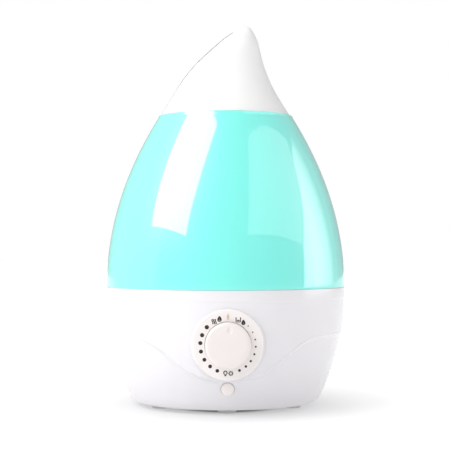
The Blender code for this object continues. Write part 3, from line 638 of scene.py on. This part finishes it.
def icon_lamp(shape, x, z, size, width, lift):
    """A round lamp on its foot."""
    add_stroke(shape, arc(x, z + size * 0.12, size * 0.34, -60, 240), width, lift)
    for drop in (0.30, 0.45):
        foot = [(x - size * 0.18, z - size * drop), (x + size * 0.18, z - size * drop)]
        add_stroke(shape, foot, width, lift)


def icon_rays(shape, x, z, size, width, lift):
    """Rays of light."""
    for k in range(8):
        a = tau * k / 8
        ray = [(x + size * s * cos(a), z + size * s * sin(a)) for s in (0.22, 0.36, 0.5)]
        add_stroke(shape, ray, width, lift)


def thick_drop(width, height, front, back):
    """A drop of this size as a solid on the plate, at the indicator's place."""
    window_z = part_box("indicator_lens")[0].z + 1.5 * MM - DIAL_Z
    outline = drop_outline(0, window_z, width, height)[:-1]
    shape = bmesh.new()
    for loop in add_rings(shape, [[on_plate(x, z, lift) for x, z in outline] for lift in (front, back)]):
        shape.faces.new(loop)
    return shape


def make_plate():
    radius, back = half_width(PLATE_LOW, PLATE_HIGH), AXIS_Y - PLATE_HIGH.y
    plate = turned(
        "dial_face",
        [(KNOB_HOLE_R, PLATE_FRONT), (radius - 0.5 * MM, PLATE_FRONT), (radius, PLATE_FRONT - 0.5 * MM),
         (radius, back), (KNOB_HOLE_R, back)],
        forward(DIAL_Z), "base", PLATE, "warm_white_plastic", "dial_plate", steps=144, ring=True,
        soft=0.15)
    carve(plate, new_object("cut_window", thick_drop(2.6 * MM, 4.9 * MM, 0.5 * MM, -0.35 * MM)))
    mesh_piece("indicator_window", thick_drop(2.1 * MM, 4.3 * MM, -0.05 * MM, -0.34 * MM), "base", ORANGE,
               "orange_lens", "indicator_lens")


def make_marks():
    """The printed dots, which grow round the dial, and the generic pictograms."""
    ink = bmesh.new()
    lift = 0.03 * MM
    for dots, first_r, change in ((LARGE_DOTS, 1.40 * MM, 0.033 * MM), (SMALL_DOTS, 0.90 * MM, 0.075 * MM)):
        for i, degrees in enumerate(dots):
            a = radians(degrees)
            add_disc(ink, DOT_RING_R * cos(a), DOT_RING_R * sin(a), first_r - change * i, lift)
    size, width = 3.2 * MM, 0.70 * MM
    icon_mist(ink, -9.0 * MM, 15.2 * MM, size, width, lift)
    icon_drop(ink, -5.5 * MM, 17.0 * MM, size, width, lift)
    icon_level(ink, 6.6 * MM, 16.4 * MM, size, width, lift)
    icon_drop(ink, 9.9 * MM, 14.7 * MM, size * 0.9, width, lift)
    icon_lamp(ink, -1.7 * MM, -18.2 * MM, size, width, lift)
    icon_rays(ink, 1.8 * MM, -18.2 * MM, size, width, lift)
    mesh_piece("dial_marks", ink, "base", INK, "warm_white_plastic")


def make_knob():
    """A shallow cap with a hub that is bored for the shaft, and the dimple that marks its setting."""
    back = AXIS_Y - KNOB_HIGH.y
    hub_r, bore_r = 5.5 * MM, 3.2 * MM
    face = [(KNOB_R * t, KNOB_FRONT - 0.35 * MM * t**2) for t in (0, 0.25, 0.5, 0.7, 0.86)]
    edge = [
        (KNOB_R - 1.2 * MM, KNOB_FRONT - 0.42 * MM), (KNOB_R - 0.55 * MM, KNOB_FRONT - 0.75 * MM),
        (KNOB_R - 0.18 * MM, KNOB_FRONT - 1.4 * MM), (KNOB_R, KNOB_FRONT - 2.4 * MM),
        (KNOB_R, back + 0.3 * MM), (KNOB_R - 0.2 * MM, back), (KNOB_R - 2.0 * MM, back),
    ]
    hollow = [
        (KNOB_R - 2.1 * MM, KNOB_FRONT - 2.2 * MM), (hub_r, KNOB_FRONT - 2.2 * MM), (hub_r, back + 0.3 * MM),
        (bore_r, back + 0.3 * MM), (bore_r, KNOB_FRONT - 2.7 * MM), (0, KNOB_FRONT - 2.7 * MM),
    ]
    knob = turned("knob", face + edge + hollow, forward(DIAL_Z), "knob", WARM, "warm_white_plastic",
                  "mist_knob", steps=144)
    ball = bmesh.new()
    ball_r = 3.4 * MM
    bmesh.ops.create_uvsphere(ball, u_segments=64, v_segments=32, radius=ball_r)
    tilt = radians(84)
    reach = 10.0 * MM
    bmesh.ops.translate(ball, verts=ball.verts, vec=(
        reach * cos(tilt), AXIS_Y - KNOB_FRONT - ball_r + 0.75 * MM, DIAL_Z + reach * sin(tilt)))
    carve(knob, new_object("cut_dimple", ball), sharp=60)


def make_button():
    radius, flange_r = 4.4 * MM, 5.8 * MM
    flange_front, flange_back = 66.5 * MM, 65.7 * MM
    dome = [(radius * t, BUTTON_FRONT - 0.5 * MM * t**2) for t in (0, 0.3, 0.55, 0.75)]
    turned(
        "lamp_button",
        dome + [(radius - 0.45 * MM, BUTTON_FRONT - 0.5 * MM), (radius - 0.1 * MM, BUTTON_FRONT - 0.9 * MM),
                (radius, BUTTON_FRONT - 1.5 * MM), (radius, flange_front), (flange_r, flange_front),
                (flange_r, flange_back), (0, flange_back)],
        forward(BUTTON_Z), "button", BUTTON, "warm_white_plastic", "light_button", steps=72)


# ---- base: inside


def make_basin():
    """Deck and outer wall, with the two tubs and the screw columns under the deck."""
    low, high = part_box("water_basin")
    deck_top = low.z + SHELL
    well_low, well_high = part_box("mist_well")
    well_r = half_width(well_low, well_high) - SHELL
    drain_r = 9 * MM
    recess_low, recess_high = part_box("cap_well")
    recess_r = half_width(recess_low, recess_high) - SHELL
    recess = upright(0, recess_high.y - AXIS_Y - recess_r - SHELL)
    cut_low, cut_high = 60 * MM, 70 * MM
    basin = turned(
        "basin",
        [
            (80.6 * MM, high.z), (80.6 * MM, 78.0 * MM), (78.2 * MM, 75.5 * MM), (78.2 * MM, low.z),
            (well_r, low.z), (well_r, deck_top), (76.0 * MM, deck_top), (76.0 * MM, 77.5 * MM),
            (78.6 * MM, 80.0 * MM), (78.6 * MM, high.z),
        ],
        upright(), *INSIDE, "water_basin", steps=160, ring=True, soft=0.8)
    carve(
        basin,
        peg("cut_recess", recess_r, cut_low, cut_high, recess, steps=96),
        peg("cut_duct", DUCT_HOLE_R, cut_low, cut_high, about("air_duct"), steps=64),
        peg("cut_lamp", 5.5 * MM, cut_low, cut_high, about("lamp_lens")),
    )
    well = turned(
        "mist_tub",
        [
            (well_r + SHELL, well_high.z), (well_r + SHELL, well_low.z), (drain_r, well_low.z),
            (drain_r, well_low.z + SHELL), (well_r, well_low.z + SHELL), (well_r, well_high.z),
        ],
        upright(), *INSIDE, "mist_well", steps=128, ring=True, soft=0.8)
    carve(well, peg("cut_way", recess_r, recess_low.z + SHELL, cut_high, recess, steps=96))
    tub = turned(
        "cap_tub",
        [
            (0, recess_low.z + SHELL), (recess_r, recess_low.z + SHELL), (recess_r, recess_high.z),
            (recess_r + SHELL, recess_high.z), (recess_r + SHELL, recess_low.z), (0, recess_low.z),
        ],
        recess, *INSIDE, "cap_well", steps=128, soft=0.8)
    carve(tub, peg("cut_round_well", well_r + SHELL + 0.2 * MM, 30 * MM, cut_high, upright(), steps=128))
    column_r = 4 * MM
    for i in SCREWS:
        node = f"screw_column_{i}"
        a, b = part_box(node)
        column = turned(
            f"column_{i}", [(0, b.z), (column_r, b.z), (column_r, a.z), (0, a.z)], about(node), *INSIDE, node,
            steps=40, soft=0.4)
        carve(column, peg(f"cut_pilot_{i}", SCREW_HOLE_R, 4 * MM, 15 * MM, about(node), steps=24))


def make_basin_fittings():
    """What stands on the deck or passes through it: duct, lamp, float and its pin, and the valve's pin."""
    turned(
        "duct",
        in_mm((15.0, 80.0), (15.0, 54.0), (19.5, 46.0), (19.5, 43.3), (17.8, 43.3), (17.8, 45.5),
              (13.2, 53.5), (13.2, 80.0)),
        about("air_duct"), *INSIDE, "air_duct", ring=True, soft=0.5)
    low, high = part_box("lamp_lens")
    dome = ((0, 0), (1.8, 0.1), (3.4, 0.9), (4.7, 2.2), (5.2, 3.6))     # radius and drop from the top, in mm
    turned(
        "lamp_dome",
        [(radius * MM, high.z - drop * MM) for radius, drop in dome] + [(5.2 * MM, low.z), (0, low.z)],
        about("lamp_lens"), "base", CLEAR, "clear_lens", "lamp_lens", steps=48)
    low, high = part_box("float_ring")
    turned("float", tube_profile(3.1 * MM, 10.0 * MM, low.z, high.z), about("float_ring"), "float", FOAM,
           "float_foam", "float_ring", steps=64, ring=True, soft=1.0)
    low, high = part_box("float_post")
    head_r, pin_r, head_z = 4.2 * MM, 2.5 * MM, high.z - 1.4 * MM
    turned("float_pin", [(0, high.z), (head_r, high.z), (head_r, head_z), (pin_r, head_z), (pin_r, low.z),
                         (0, low.z)],
           about("float_ring"), *INSIDE, "float_post", steps=48, soft=0.4)
    low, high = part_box("valve_post")
    pin_r = 1.8 * MM
    turned("valve_pin", [(0, high.z), (pin_r, high.z), (pin_r, low.z), (0, low.z)], upright(0, NECK_Y),
           *INSIDE, "valve_post", steps=32, soft=0.4)


# ---- tank


def make_tank():
    """The drop-shaped wall with its lip and sunk mouth, the mist tube, and the floor with its neck."""
    top, bottom = TANK_TOP_Z, JOINT_Z + JOINT_GAP / 2
    lip = 2.2 * MM
    mouth_r, shelf_z = 44.0 * MM, 195.3 * MM
    lip_r = tank_radius(top - lip)
    outer = [
        (mouth_r + 0.35 * MM, top), (lip_r - 1.35 * MM, top), (lip_r - 1.0 * MM, top - 0.12 * MM),
        (lip_r - 0.22 * MM, top - lip + 0.35 * MM), (lip_r, top - lip - 0.1 * MM),
    ]
    outer += [(tank_radius(z), z) for z in spaced(top - lip - 1.2 * MM, bottom + 0.5 * MM, 44)]
    outer += [(BODY_R, bottom + 0.1 * MM), (BODY_R - 0.06 * MM, bottom), (BODY_R - SHELL, bottom)]
    inner = [(tank_radius(z) - SHELL, z) for z in spaced(bottom + 1 * MM, shelf_z - 4 * MM, 24)]
    under_z = shelf_z - SHELL
    inner += [
        (tank_radius(under_z) - SHELL - 1 * MM, under_z), (TUBE_HOLE_R, under_z), (TUBE_HOLE_R, shelf_z),
        (mouth_r - 1.5 * MM, shelf_z), (mouth_r - 0.3 * MM, shelf_z + 0.3 * MM),
        (mouth_r, shelf_z + 1.5 * MM), (mouth_r, top - 0.35 * MM),
    ]
    turned("tank_wall", outer + inner, upright(), "tank", TEAL, "teal_plastic", "tank_shell", steps=256,
           ring=True, sharp=40)
    low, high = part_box("mist_tube")
    tube_r = half_width(low, high)
    turned("chimney", tube_profile(tube_r - 2 * MM, tube_r, low.z, high.z), upright(), "tank", MILKY,
           "milky_plastic", "mist_tube", ring=True, soft=0.5)
    low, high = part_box("tank_floor")
    floor_r = half_width(low, high)
    plate_low = high.z - 2.2 * MM
    floor = turned(
        "tank_base",
        [(floor_r, high.z), (floor_r, plate_low), (TUBE_HOLE_R, plate_low), (TUBE_HOLE_R, high.z)],
        upright(), "tank", TEAL, "teal_plastic", "tank_floor", steps=160, ring=True, soft=0.4)
    neck = upright(0, NECK_Y)
    carve(floor, peg("neck", 18 * MM, low.z, high.z - 1 * MM, neck, steps=96), operation="UNION")
    carve(floor, peg("cut_neck", 15.8 * MM, low.z - 5 * MM, high.z + 5 * MM, neck, steps=96))


def make_filler_cap():
    """The screw cap with a hole for the valve's stem, and the grips round it."""
    low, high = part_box("tank_cap")
    radius, thread_r, hole_r = 21 * MM, 18.4 * MM, 3.2 * MM
    floor_z = 71 * MM
    turned(
        "screw_cap",
        [
            (radius - 0.6 * MM, high.z), (radius, high.z - 0.6 * MM), (radius, low.z + 1 * MM),
            (radius - 1 * MM, low.z), (hole_r, low.z), (hole_r, floor_z), (thread_r, floor_z),
            (thread_r, high.z),
        ],
        upright(0, NECK_Y), "filler_cap", INNER_WHITE, "white_plastic", "tank_cap", steps=128, ring=True,
        soft=0.5)
    grips = bmesh.new()
    count = 32
    grip_low = (radius - 0.4 * MM, -0.6 * MM, 70.5 * MM)
    grip_high = (radius + 0.7 * MM, 0.6 * MM, 82.5 * MM)
    for i in range(count):
        spin = Matrix.Rotation(tau * i / count, 4, "Z")
        made = add_box(grips, grip_low, grip_high, turn=Matrix.Translation((0, AXIS_Y + NECK_Y, 0)) @ spin)
        edges = list({e for v in made for e in v.link_edges})
        bmesh.ops.bevel(grips, geom=edges, offset=0.3 * MM, segments=2, affect="EDGES")
    mesh_piece("cap_grips", grips, "filler_cap", INNER_WHITE, "white_plastic")


# ---- nozzle

# The nozzle's outline, seen from the front, as (height, x), and how far its sections lean.
NOZZLE_RIGHT = ((0.2036, 0.0455), (0.2220, 0.0344), (0.2390, 0.0273), (0.2560, 0.0230), (0.2627, 0.0200))
NOZZLE_FACE = ((0.2036, -0.0475), (0.2200, -0.0359), (0.2365, -0.0225), (0.2547, -0.0039), (0.2627, 0.0056))
NOZZLE_LEAN = ((0.2036, 0.0000), (0.2220, 0.0000), (0.2390, 0.0010), (0.2560, 0.0085), (0.2627, 0.0128))
SHOULDER_Z = NOZZLE_RIGHT[-1][0]
TIP_X = 14.6 * MM
ROUND_COLUMNS = 96
# A groove beside the rim: distance from it and depth, in mm.
SEAM = ((0.35, 0.0), (0.50, 0.45), (1.00, 0.45), (1.15, 0.0))
FACE_SINK = 0.8 * MM             # how far the slanted face lies below its rim
OUTLET_SLOPE = radians(-46)
OUTLET_AT = (-19.5 * MM, 240 * MM)     # its middle: x and z
OUTLET_HALF = (15 * MM, 10 * MM)
OUTLET_STEPS = 72
LIP_R = 0.8 * MM
LIP_OUT = 0.3 * MM
FACE_PARTS = (0.03, 0.08, 0.12, 0.16, 0.30, 0.5, 0.70, 0.84, 0.88, 0.92, 0.97)     # columns across the face


def nozzle_section(z, inset=0.0):
    """(centre x, radius, x of the slanted face) of the level section at height z."""
    if z <= SHOULDER_Z:
        centre = through(NOZZLE_LEAN, z)
        return centre, through(NOZZLE_RIGHT, z) - centre - inset, through(NOZZLE_FACE, z) + inset
    left = min(1.0, (z - SHOULDER_Z) / (NOZZLE_HIGH.z - SHOULDER_Z))
    start, end = NOZZLE_FACE[-1][1], NOZZLE_RIGHT[-1][1]
    low_x = TIP_X - (TIP_X - start) * (1 - left) ** 0.62
    high_x = TIP_X + (end - TIP_X) * (1 - left) ** 0.5
    return (low_x + high_x) / 2, (high_x - low_x) / 2 - inset, -1.0


def nozzle_ring(z, inset=0.0, recess=0.0):
    """A level ring: its round side, then across the slanted face, which lies a little below its rim."""
    centre, radius, face = nozzle_section(z, inset)
    radius = max(radius, 0.0)
    reach = max(-1.0, min(1.0, (face - centre) / radius)) if radius > 1e-6 else -1.0
    edge_angle = acos(reach)
    half = radius * sin(edge_angle)
    seam_depth = ease(2.5 * MM, 6 * MM, half) if recess else 0.0
    seam = [(edge_angle - along * MM / max(radius, 4 * MM), depth * MM * seam_depth) for along, depth in SEAM]
    last = seam[-1][0] - 0.02
    columns = [(-edge_angle, 0.0)] + [(-angle, depth) for angle, depth in seam]
    columns += [(angle, 0.0) for angle in spaced(-last, last, ROUND_COLUMNS)]
    columns += list(reversed(seam)) + [(edge_angle, 0.0)]
    ring = []
    for angle, depth in columns:
        out = radius - depth
        ring.append((centre + out * cos(angle), AXIS_Y + out * sin(angle), z))
    depth = recess * ease(2.5 * MM, 7 * MM, half)
    for part in FACE_PARTS:
        y = half * (1 - 2 * part)
        x = centre + radius * cos(edge_angle) + depth * ease(0.9 * MM, 2.2 * MM, half - abs(y))
        ring.append((x, AXIS_Y + y, z))
    return ring


def make_nozzle():
    """The hollow leaning cap, skinned outside and inside, with the oval outlet cut in its face."""
    bottom, wall = TANK_TOP_Z + 0.2 * MM, 2 * MM
    heights = [bottom + 0.25 * MM] + spaced(bottom + 1.2 * MM, SHOULDER_Z, 52)
    tip_parts = (0.12, 0.25, 0.38, 0.5, 0.62, 0.73, 0.82, 0.9, 0.955, 0.985, 1.0)
    heights += [SHOULDER_Z + (NOZZLE_HIGH.z - SHOULDER_Z) * part for part in tip_parts]
    rings = [nozzle_ring(bottom, inset=0.1 * MM)]
    rings += [nozzle_ring(z, recess=FACE_SINK) for z in heights]
    inner = [nozzle_ring(bottom, inset=wall)]
    inner += [nozzle_ring(z, inset=wall + 0.5 * MM)
              for z in reversed(spaced(SHOULDER_Z - 6 * MM, bottom + 0.5 * MM, 24))]
    shape = bmesh.new()
    outer_rim = add_rings(shape, rings)[0]
    inner_rim = add_rings(shape, inner)[0]
    count = len(outer_rim)
    for i in range(count):
        j = (i + 1) % count
        shape.faces.new((outer_rim[i], inner_rim[i], inner_rim[j], outer_rim[j]))
    bmesh.ops.holes_fill(shape, edges=[e for e in shape.edges if e.is_boundary])
    cap = mesh_piece("nozzle_tip", shape, "nozzle", NOZZLE_WHITE, "white_plastic", "nozzle_cap", sharp=45)
    hole = bmesh.new()
    for loop in add_rings(hole, [outlet_ring(0.0, lambda angle: lift) for lift in (-15 * MM, 15 * MM)]):
        hole.faces.new(loop)
    carve(cap, new_object("cut_outlet", hole), sharp=45)


def outlet_ring(grow, lift_at):
    """An oval round the outlet, this much larger than it, at a height over its plane for each angle."""
    x, z = OUTLET_AT
    turn = Matrix.Translation((x, AXIS_Y, z)) @ Matrix.Rotation(OUTLET_SLOPE, 4, "Y")
    half_long, half_wide = OUTLET_HALF
    ring = []
    for i in range(OUTLET_STEPS):
        angle = tau * i / OUTLET_STEPS
        ring.append(turn @ Vector(((half_long + grow) * cos(angle), (half_wide + grow) * sin(angle),
                                   lift_at(angle))))
    return ring


def face_lift(angle):
    """Height of the slanted face over the outlet's own plane, so that the lip lies on it."""
    along = (OUTLET_HALF[0] + LIP_OUT) * cos(angle)
    tilt = Matrix.Rotation(OUTLET_SLOPE, 3, "Y")
    run, up = tilt @ Vector((1, 0, 0)), tilt @ Vector((0, 0, 1))
    origin = Vector((OUTLET_AT[0], 0, OUTLET_AT[1]))
    low, high = -8 * MM, 8 * MM
    for _ in range(20):
        middle = (low + high) / 2
        point = origin + run * along + up * middle
        if point.x < through(NOZZLE_FACE, point.z) + FACE_SINK:
            high = middle
        else:
            low = middle
    return (low + high) / 2


def make_outlet_lip():
    """A round bead along the outlet's edge."""
    count = 12
    loops = []
    for k in range(count):
        a = tau * k / count
        loops.append(outlet_ring(LIP_OUT + LIP_R * cos(a),
                                 lambda angle: face_lift(angle) + LIP_R * sin(a)))
    lip = bmesh.new()
    add_rings(lip, loops, loop=True)
    mesh_piece("outlet_lip", lip, "nozzle", NOZZLE_WHITE, "white_plastic")


def make_rim_shade_bead():
    """A thin grey bead round the rim of the slanted face, and down the cap's edge below it: painted shade, a
    grey line where the rim's edge falls into shade.
    """
    bead_r, least_half, sides = 0.42 * MM, 0.5 * MM, 10
    front, back = [], []
    for z in spaced(NOZZLE_LOW.z + 0.8 * MM, SHOULDER_Z - 0.5 * MM, 40):
        centre, radius, face = nozzle_section(z)
        edge = max(face, centre - radius)
        half = sqrt(max(radius**2 - (edge - centre) ** 2, least_half**2))
        front.append(Vector((edge, AXIS_Y - half, z)))
        back.append(Vector((edge, AXIS_Y + half, z)))
    loop = front + back[::-1]
    rings = []
    for i, here in enumerate(loop):
        run = (loop[(i + 1) % len(loop)] - loop[i - 1]).normalized()
        side = run.cross(Vector((1, 0, 1))).normalized()
        over = run.cross(side)
        angles = [tau * k / sides for k in range(sides)]
        rings.append([here + (side * cos(a) + over * sin(a)) * bead_r for a in angles])
    shape = bmesh.new()
    add_rings(shape, rings, loop=True)
    mesh_piece("rim_shade_bead", shape, "nozzle", RIM_SHADE_GREY, "white_plastic", sharp=180)


def make_collar():
    """The ring under the cap, which sits in the tank's mouth."""
    low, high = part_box("nozzle_collar")
    radius = half_width(low, high)
    outer = [(radius - 4.1 * MM, 208.5 * MM), (radius - 1.6 * MM, 204.5 * MM), (radius, 203 * MM),
             (radius, low.z)]
    inner = [(r - 2 * MM, z) for r, z in reversed(outer)]
    turned("mouth_ring", outer + inner, upright(), "collar", INNER_WHITE, "white_plastic", "nozzle_collar",
           steps=128, ring=True, soft=0.5)


# ---- CAD nodes that stay as they are

KEPT = {
    INNER_WHITE: ("splash_baffle", "valve_bridge", "valve_plunger"),
    SEAL: ("valve_seal", "cap_gasket"),
    PALE_RUBBER: ("transducer_seal",),
    STEEL: ("valve_spring", "transducer_clamp", "potentiometer", "potentiometer_shaft"),
    BRASS: ("transducer_disc",),
    DARK: ("fan_frame", "fan_rotor", "power_inlet", "power_transistor", "switch_plunger", "tact_switch"),
    BOARD: ("main_board", "control_board", "lamp_board"),
    ALUMINIUM: ("heat_sink",),
    SLEEVE: ("capacitor",),
    COPPER: ("choke_coil",),
    CLEAR: ("reed_switch",),
    ORANGE: ("indicator_led",),
}


def dress_kept_nodes():
    for look, names in KEPT.items():
        for name in names:
            node = NODES[name]
            node.data.materials.clear()
            node.data.materials.append(look)


# ---- floor, light and camera

SURROUND = 0.60          # light from the right, against the white that the camera sees
LEFT = 1.2               # how much more comes from the left
BEHIND = 0.8             # and how much less from straight behind the object
KEY = 3.25               # the softbox's strength on matt surfaces, and the strength that gloss shows
KEY_SHEEN = 3.4
# The floor glows white, and its glow fades to nothing under and round the object, a painted shadow:
# (distance, glow).
FLOOR_REACH = 0.6
PAINTED_SHADOW_OVAL = (1.0, 0.83, 1.0)    # the glow, and with it the painted shadow's edge, starts further out in front of the object than beside it
FLOOR_GLOW_PAINTED_SHADOW = ((0.0335, 0.0), (0.0425, 0.38), (0.095, 0.65), (0.150, 0.84), (0.550, 0.92))


def new_pane(name, corners, look):
    """A flat face that is part of the studio, not of the object."""
    mesh = bpy.data.meshes.new(name)
    mesh.from_pydata(corners, [], [range(len(corners))])
    mesh.materials.append(look)
    pane = bpy.data.objects.new(name, mesh)
    SCENE.collection.objects.link(pane)
    return pane


def make_floor():
    paper, nodes, shader = new_material("white_sweep_painted_shadow")
    put(shader, {"Base Color": (0.35, 0.35, 0.355, 1), "Roughness": 0.6, "Specular IOR Level": 0.2,
                 "Emission Color": (1.0, 0.995, 1.0, 1)})
    where, oval, reach, share, glow = new_nodes(
        nodes, "TexCoord", "VectorMath", "VectorMath", "MapRange", "ValToRGB")
    oval.operation = "MULTIPLY"
    oval.inputs[1].default_value = PAINTED_SHADOW_OVAL
    reach.operation = "LENGTH"
    put(share, {"From Max": FLOOR_REACH})
    # The emission ramp is dark under the object and rises outwards: a painted shadow round the object, on a
    # floor that glows white further off.
    stops = glow.color_ramp.elements
    while len(stops) < len(FLOOR_GLOW_PAINTED_SHADOW):
        stops.new(0.5)
    for stop, (distance, strength) in zip(stops, FLOOR_GLOW_PAINTED_SHADOW):
        stop.position = distance / FLOOR_REACH
        stop.color = (strength, strength, strength, 1)
    join(where, "Object", oval, 0)
    join(oval, "Vector", reach, 0)
    join(reach, "Value", share, "Value")
    join(share, "Result", glow, "Fac")
    join(glow, "Color", shader, "Emission Strength")
    half = 6.0
    new_pane("floor", [(-half, -half, 0), (half, -half, 0), (half, half, 0), (-half, half, 0)], paper)


def facing(azimuth, elevation, distance=0.90):
    """The centre of a plane that faces the object, and the plane's own across and up."""
    a, e = radians(azimuth), radians(elevation)
    back = Vector((sin(a) * cos(e), -cos(a) * cos(e), sin(e)))
    across = Vector((cos(a), sin(a), 0))
    return Vector((0, AXIS_Y, 0.12)) + back * distance, across, back.cross(across)


def softbox(name, azimuth, elevation, size, radiance, shift, distance=0.90, lights_matt=True):
    """A rectangular light that faces the object, slid within its own plane. Some only show in gloss."""
    centre, across, up = facing(azimuth, elevation, distance)
    light = bpy.data.lights.new(name, "AREA")
    light.shape = "RECTANGLE"
    light.size, light.size_y = size
    light.energy = radiance * pi * size[0] * size[1]
    lamp = bpy.data.objects.new(name, light)
    lamp.rotation_euler = Matrix((across, up, across.cross(up))).transposed().to_euler()
    lamp.location = centre + across * shift[0] + up * shift[1]
    lamp.visible_camera = False
    lamp.visible_diffuse = lights_matt
    SCENE.collection.objects.link(lamp)


def set_range(node, between, values):
    """Sets a Map Range node: which inputs become which outputs."""
    put(node, dict(zip(("From Min", "From Max", "To Min", "To Max"), (*between, *values))))


def window(name, azimuth, elevation, corners, strengths, fade):
    """A bright pane that only shows in gloss. Its strength changes across it, between two distances."""
    centre, across, up = facing(azimuth, elevation, 0.92)
    glass, nodes, shader = new_material(name)
    nodes.remove(shader)
    glow, change, along, where = new_nodes(nodes, "Emission", "MapRange", "VectorMath", "TexCoord")
    along.operation = "DOT_PRODUCT"
    along.inputs[1].default_value = across
    start = centre.dot(across)
    set_range(change, [start + u for u in fade], strengths)
    join(where, "Object", along, 0)
    join(along, "Value", change, "Value")
    join(change, "Result", glow, "Strength")
    join(glow, "Emission", nodes["Material Output"], "Surface")
    pane = new_pane(name, [centre + across * u + up * v for u, v in corners], glass)
    pane.visible_camera = False
    pane.visible_diffuse = False
    pane.visible_shadow = False


def make_world():
    """White to the camera; dimmer as a light, most from the left and least from behind."""
    world = bpy.data.worlds.new("studio")
    world.use_nodes = True
    nodes = world.node_tree.nodes
    sky = nodes["Background"]
    where, split, side, back, both, path, level = new_nodes(
        nodes, "TexCoord", "SeparateXYZ", "MapRange", "MapRange", "Math", "LightPath", "MapRange")
    set_range(side, (0.3, -0.8), (SURROUND, SURROUND * LEFT))
    set_range(back, (0.6, 0.95), (1.0, BEHIND))
    both.operation = "MULTIPLY"
    put(level, {"To Max": 1.0})
    put(sky, {"Color": (1.0, 1.0, 1.0, 1)})
    join(where, "Generated", split, "Vector")
    join(split, "X", side, "Value")
    join(split, "Y", back, "Value")
    join(side, "Result", both, 0)
    join(back, "Result", both, 1)
    join(both, "Value", level, "To Min")
    join(path, "Is Camera Ray", level, "Value")
    join(level, "Result", sky, "Strength")
    SCENE.world = world


def make_light():
    make_world()
    softbox("key_softbox", -60, 35, (0.653, 0.87), KEY, shift=(0.0, 0.168))
    softbox("key_sheen", -60, 35, (0.638, 0.85), KEY_SHEEN, shift=(0.0, 0.164), distance=0.88,
            lights_matt=False)
    side = [(-0.26, 0.50), (-0.83, -0.07), (0.23, -0.32), (0.59, 0.28)]
    window("side_window", 65, 30, side, (1.5, 1.4), (0, 1))
    rim = [(0.20, 0.51), (-0.06, 0.53), (-0.28, 0.48), (-0.53, 0.25), (-0.63, -0.14), (0.34, -0.13),
           (0.47, 0.28)]
    window("rim_window", 110, 5, rim, (4.0, 0.7), (-0.25, 0.20))
    left = [(-0.60, 0.60), (-0.60, -0.60), (0.60, -0.60), (0.60, 0.60)]
    window("left_window", -100, 20, left, (0.8, 1.2), (-0.6, 0.2))
    SCENE.view_settings.view_transform = "Standard"
    SCENE.view_settings.look = "None"


def make_camera():
    camera = bpy.data.cameras.new("camera")
    camera.sensor_width = 36.0      # millimetres, as the lens
    camera.lens = 104.9
    eye = bpy.data.objects.new("camera", camera)
    distance, azimuth = 0.931, radians(-1.07)
    eye.location = (distance * sin(azimuth), AXIS_Y - distance * cos(azimuth), 0.115)
    aim = Vector((-0.0004, AXIS_Y, 0.1261))
    eye.rotation_euler = (aim - eye.location).to_track_quat("-Z", "Y").to_euler()
    SCENE.collection.objects.link(eye)
    SCENE.camera = eye


make_camera()
make_light()
make_floor()
make_base_shell()
make_boss()
make_underside()
make_plate()
make_marks()
make_knob()
make_button()
make_basin()
make_basin_fittings()
make_tank()
make_filler_cap()
make_nozzle()
make_outlet_lip()
make_rim_shade_bead()
make_collar()
dress_kept_nodes()
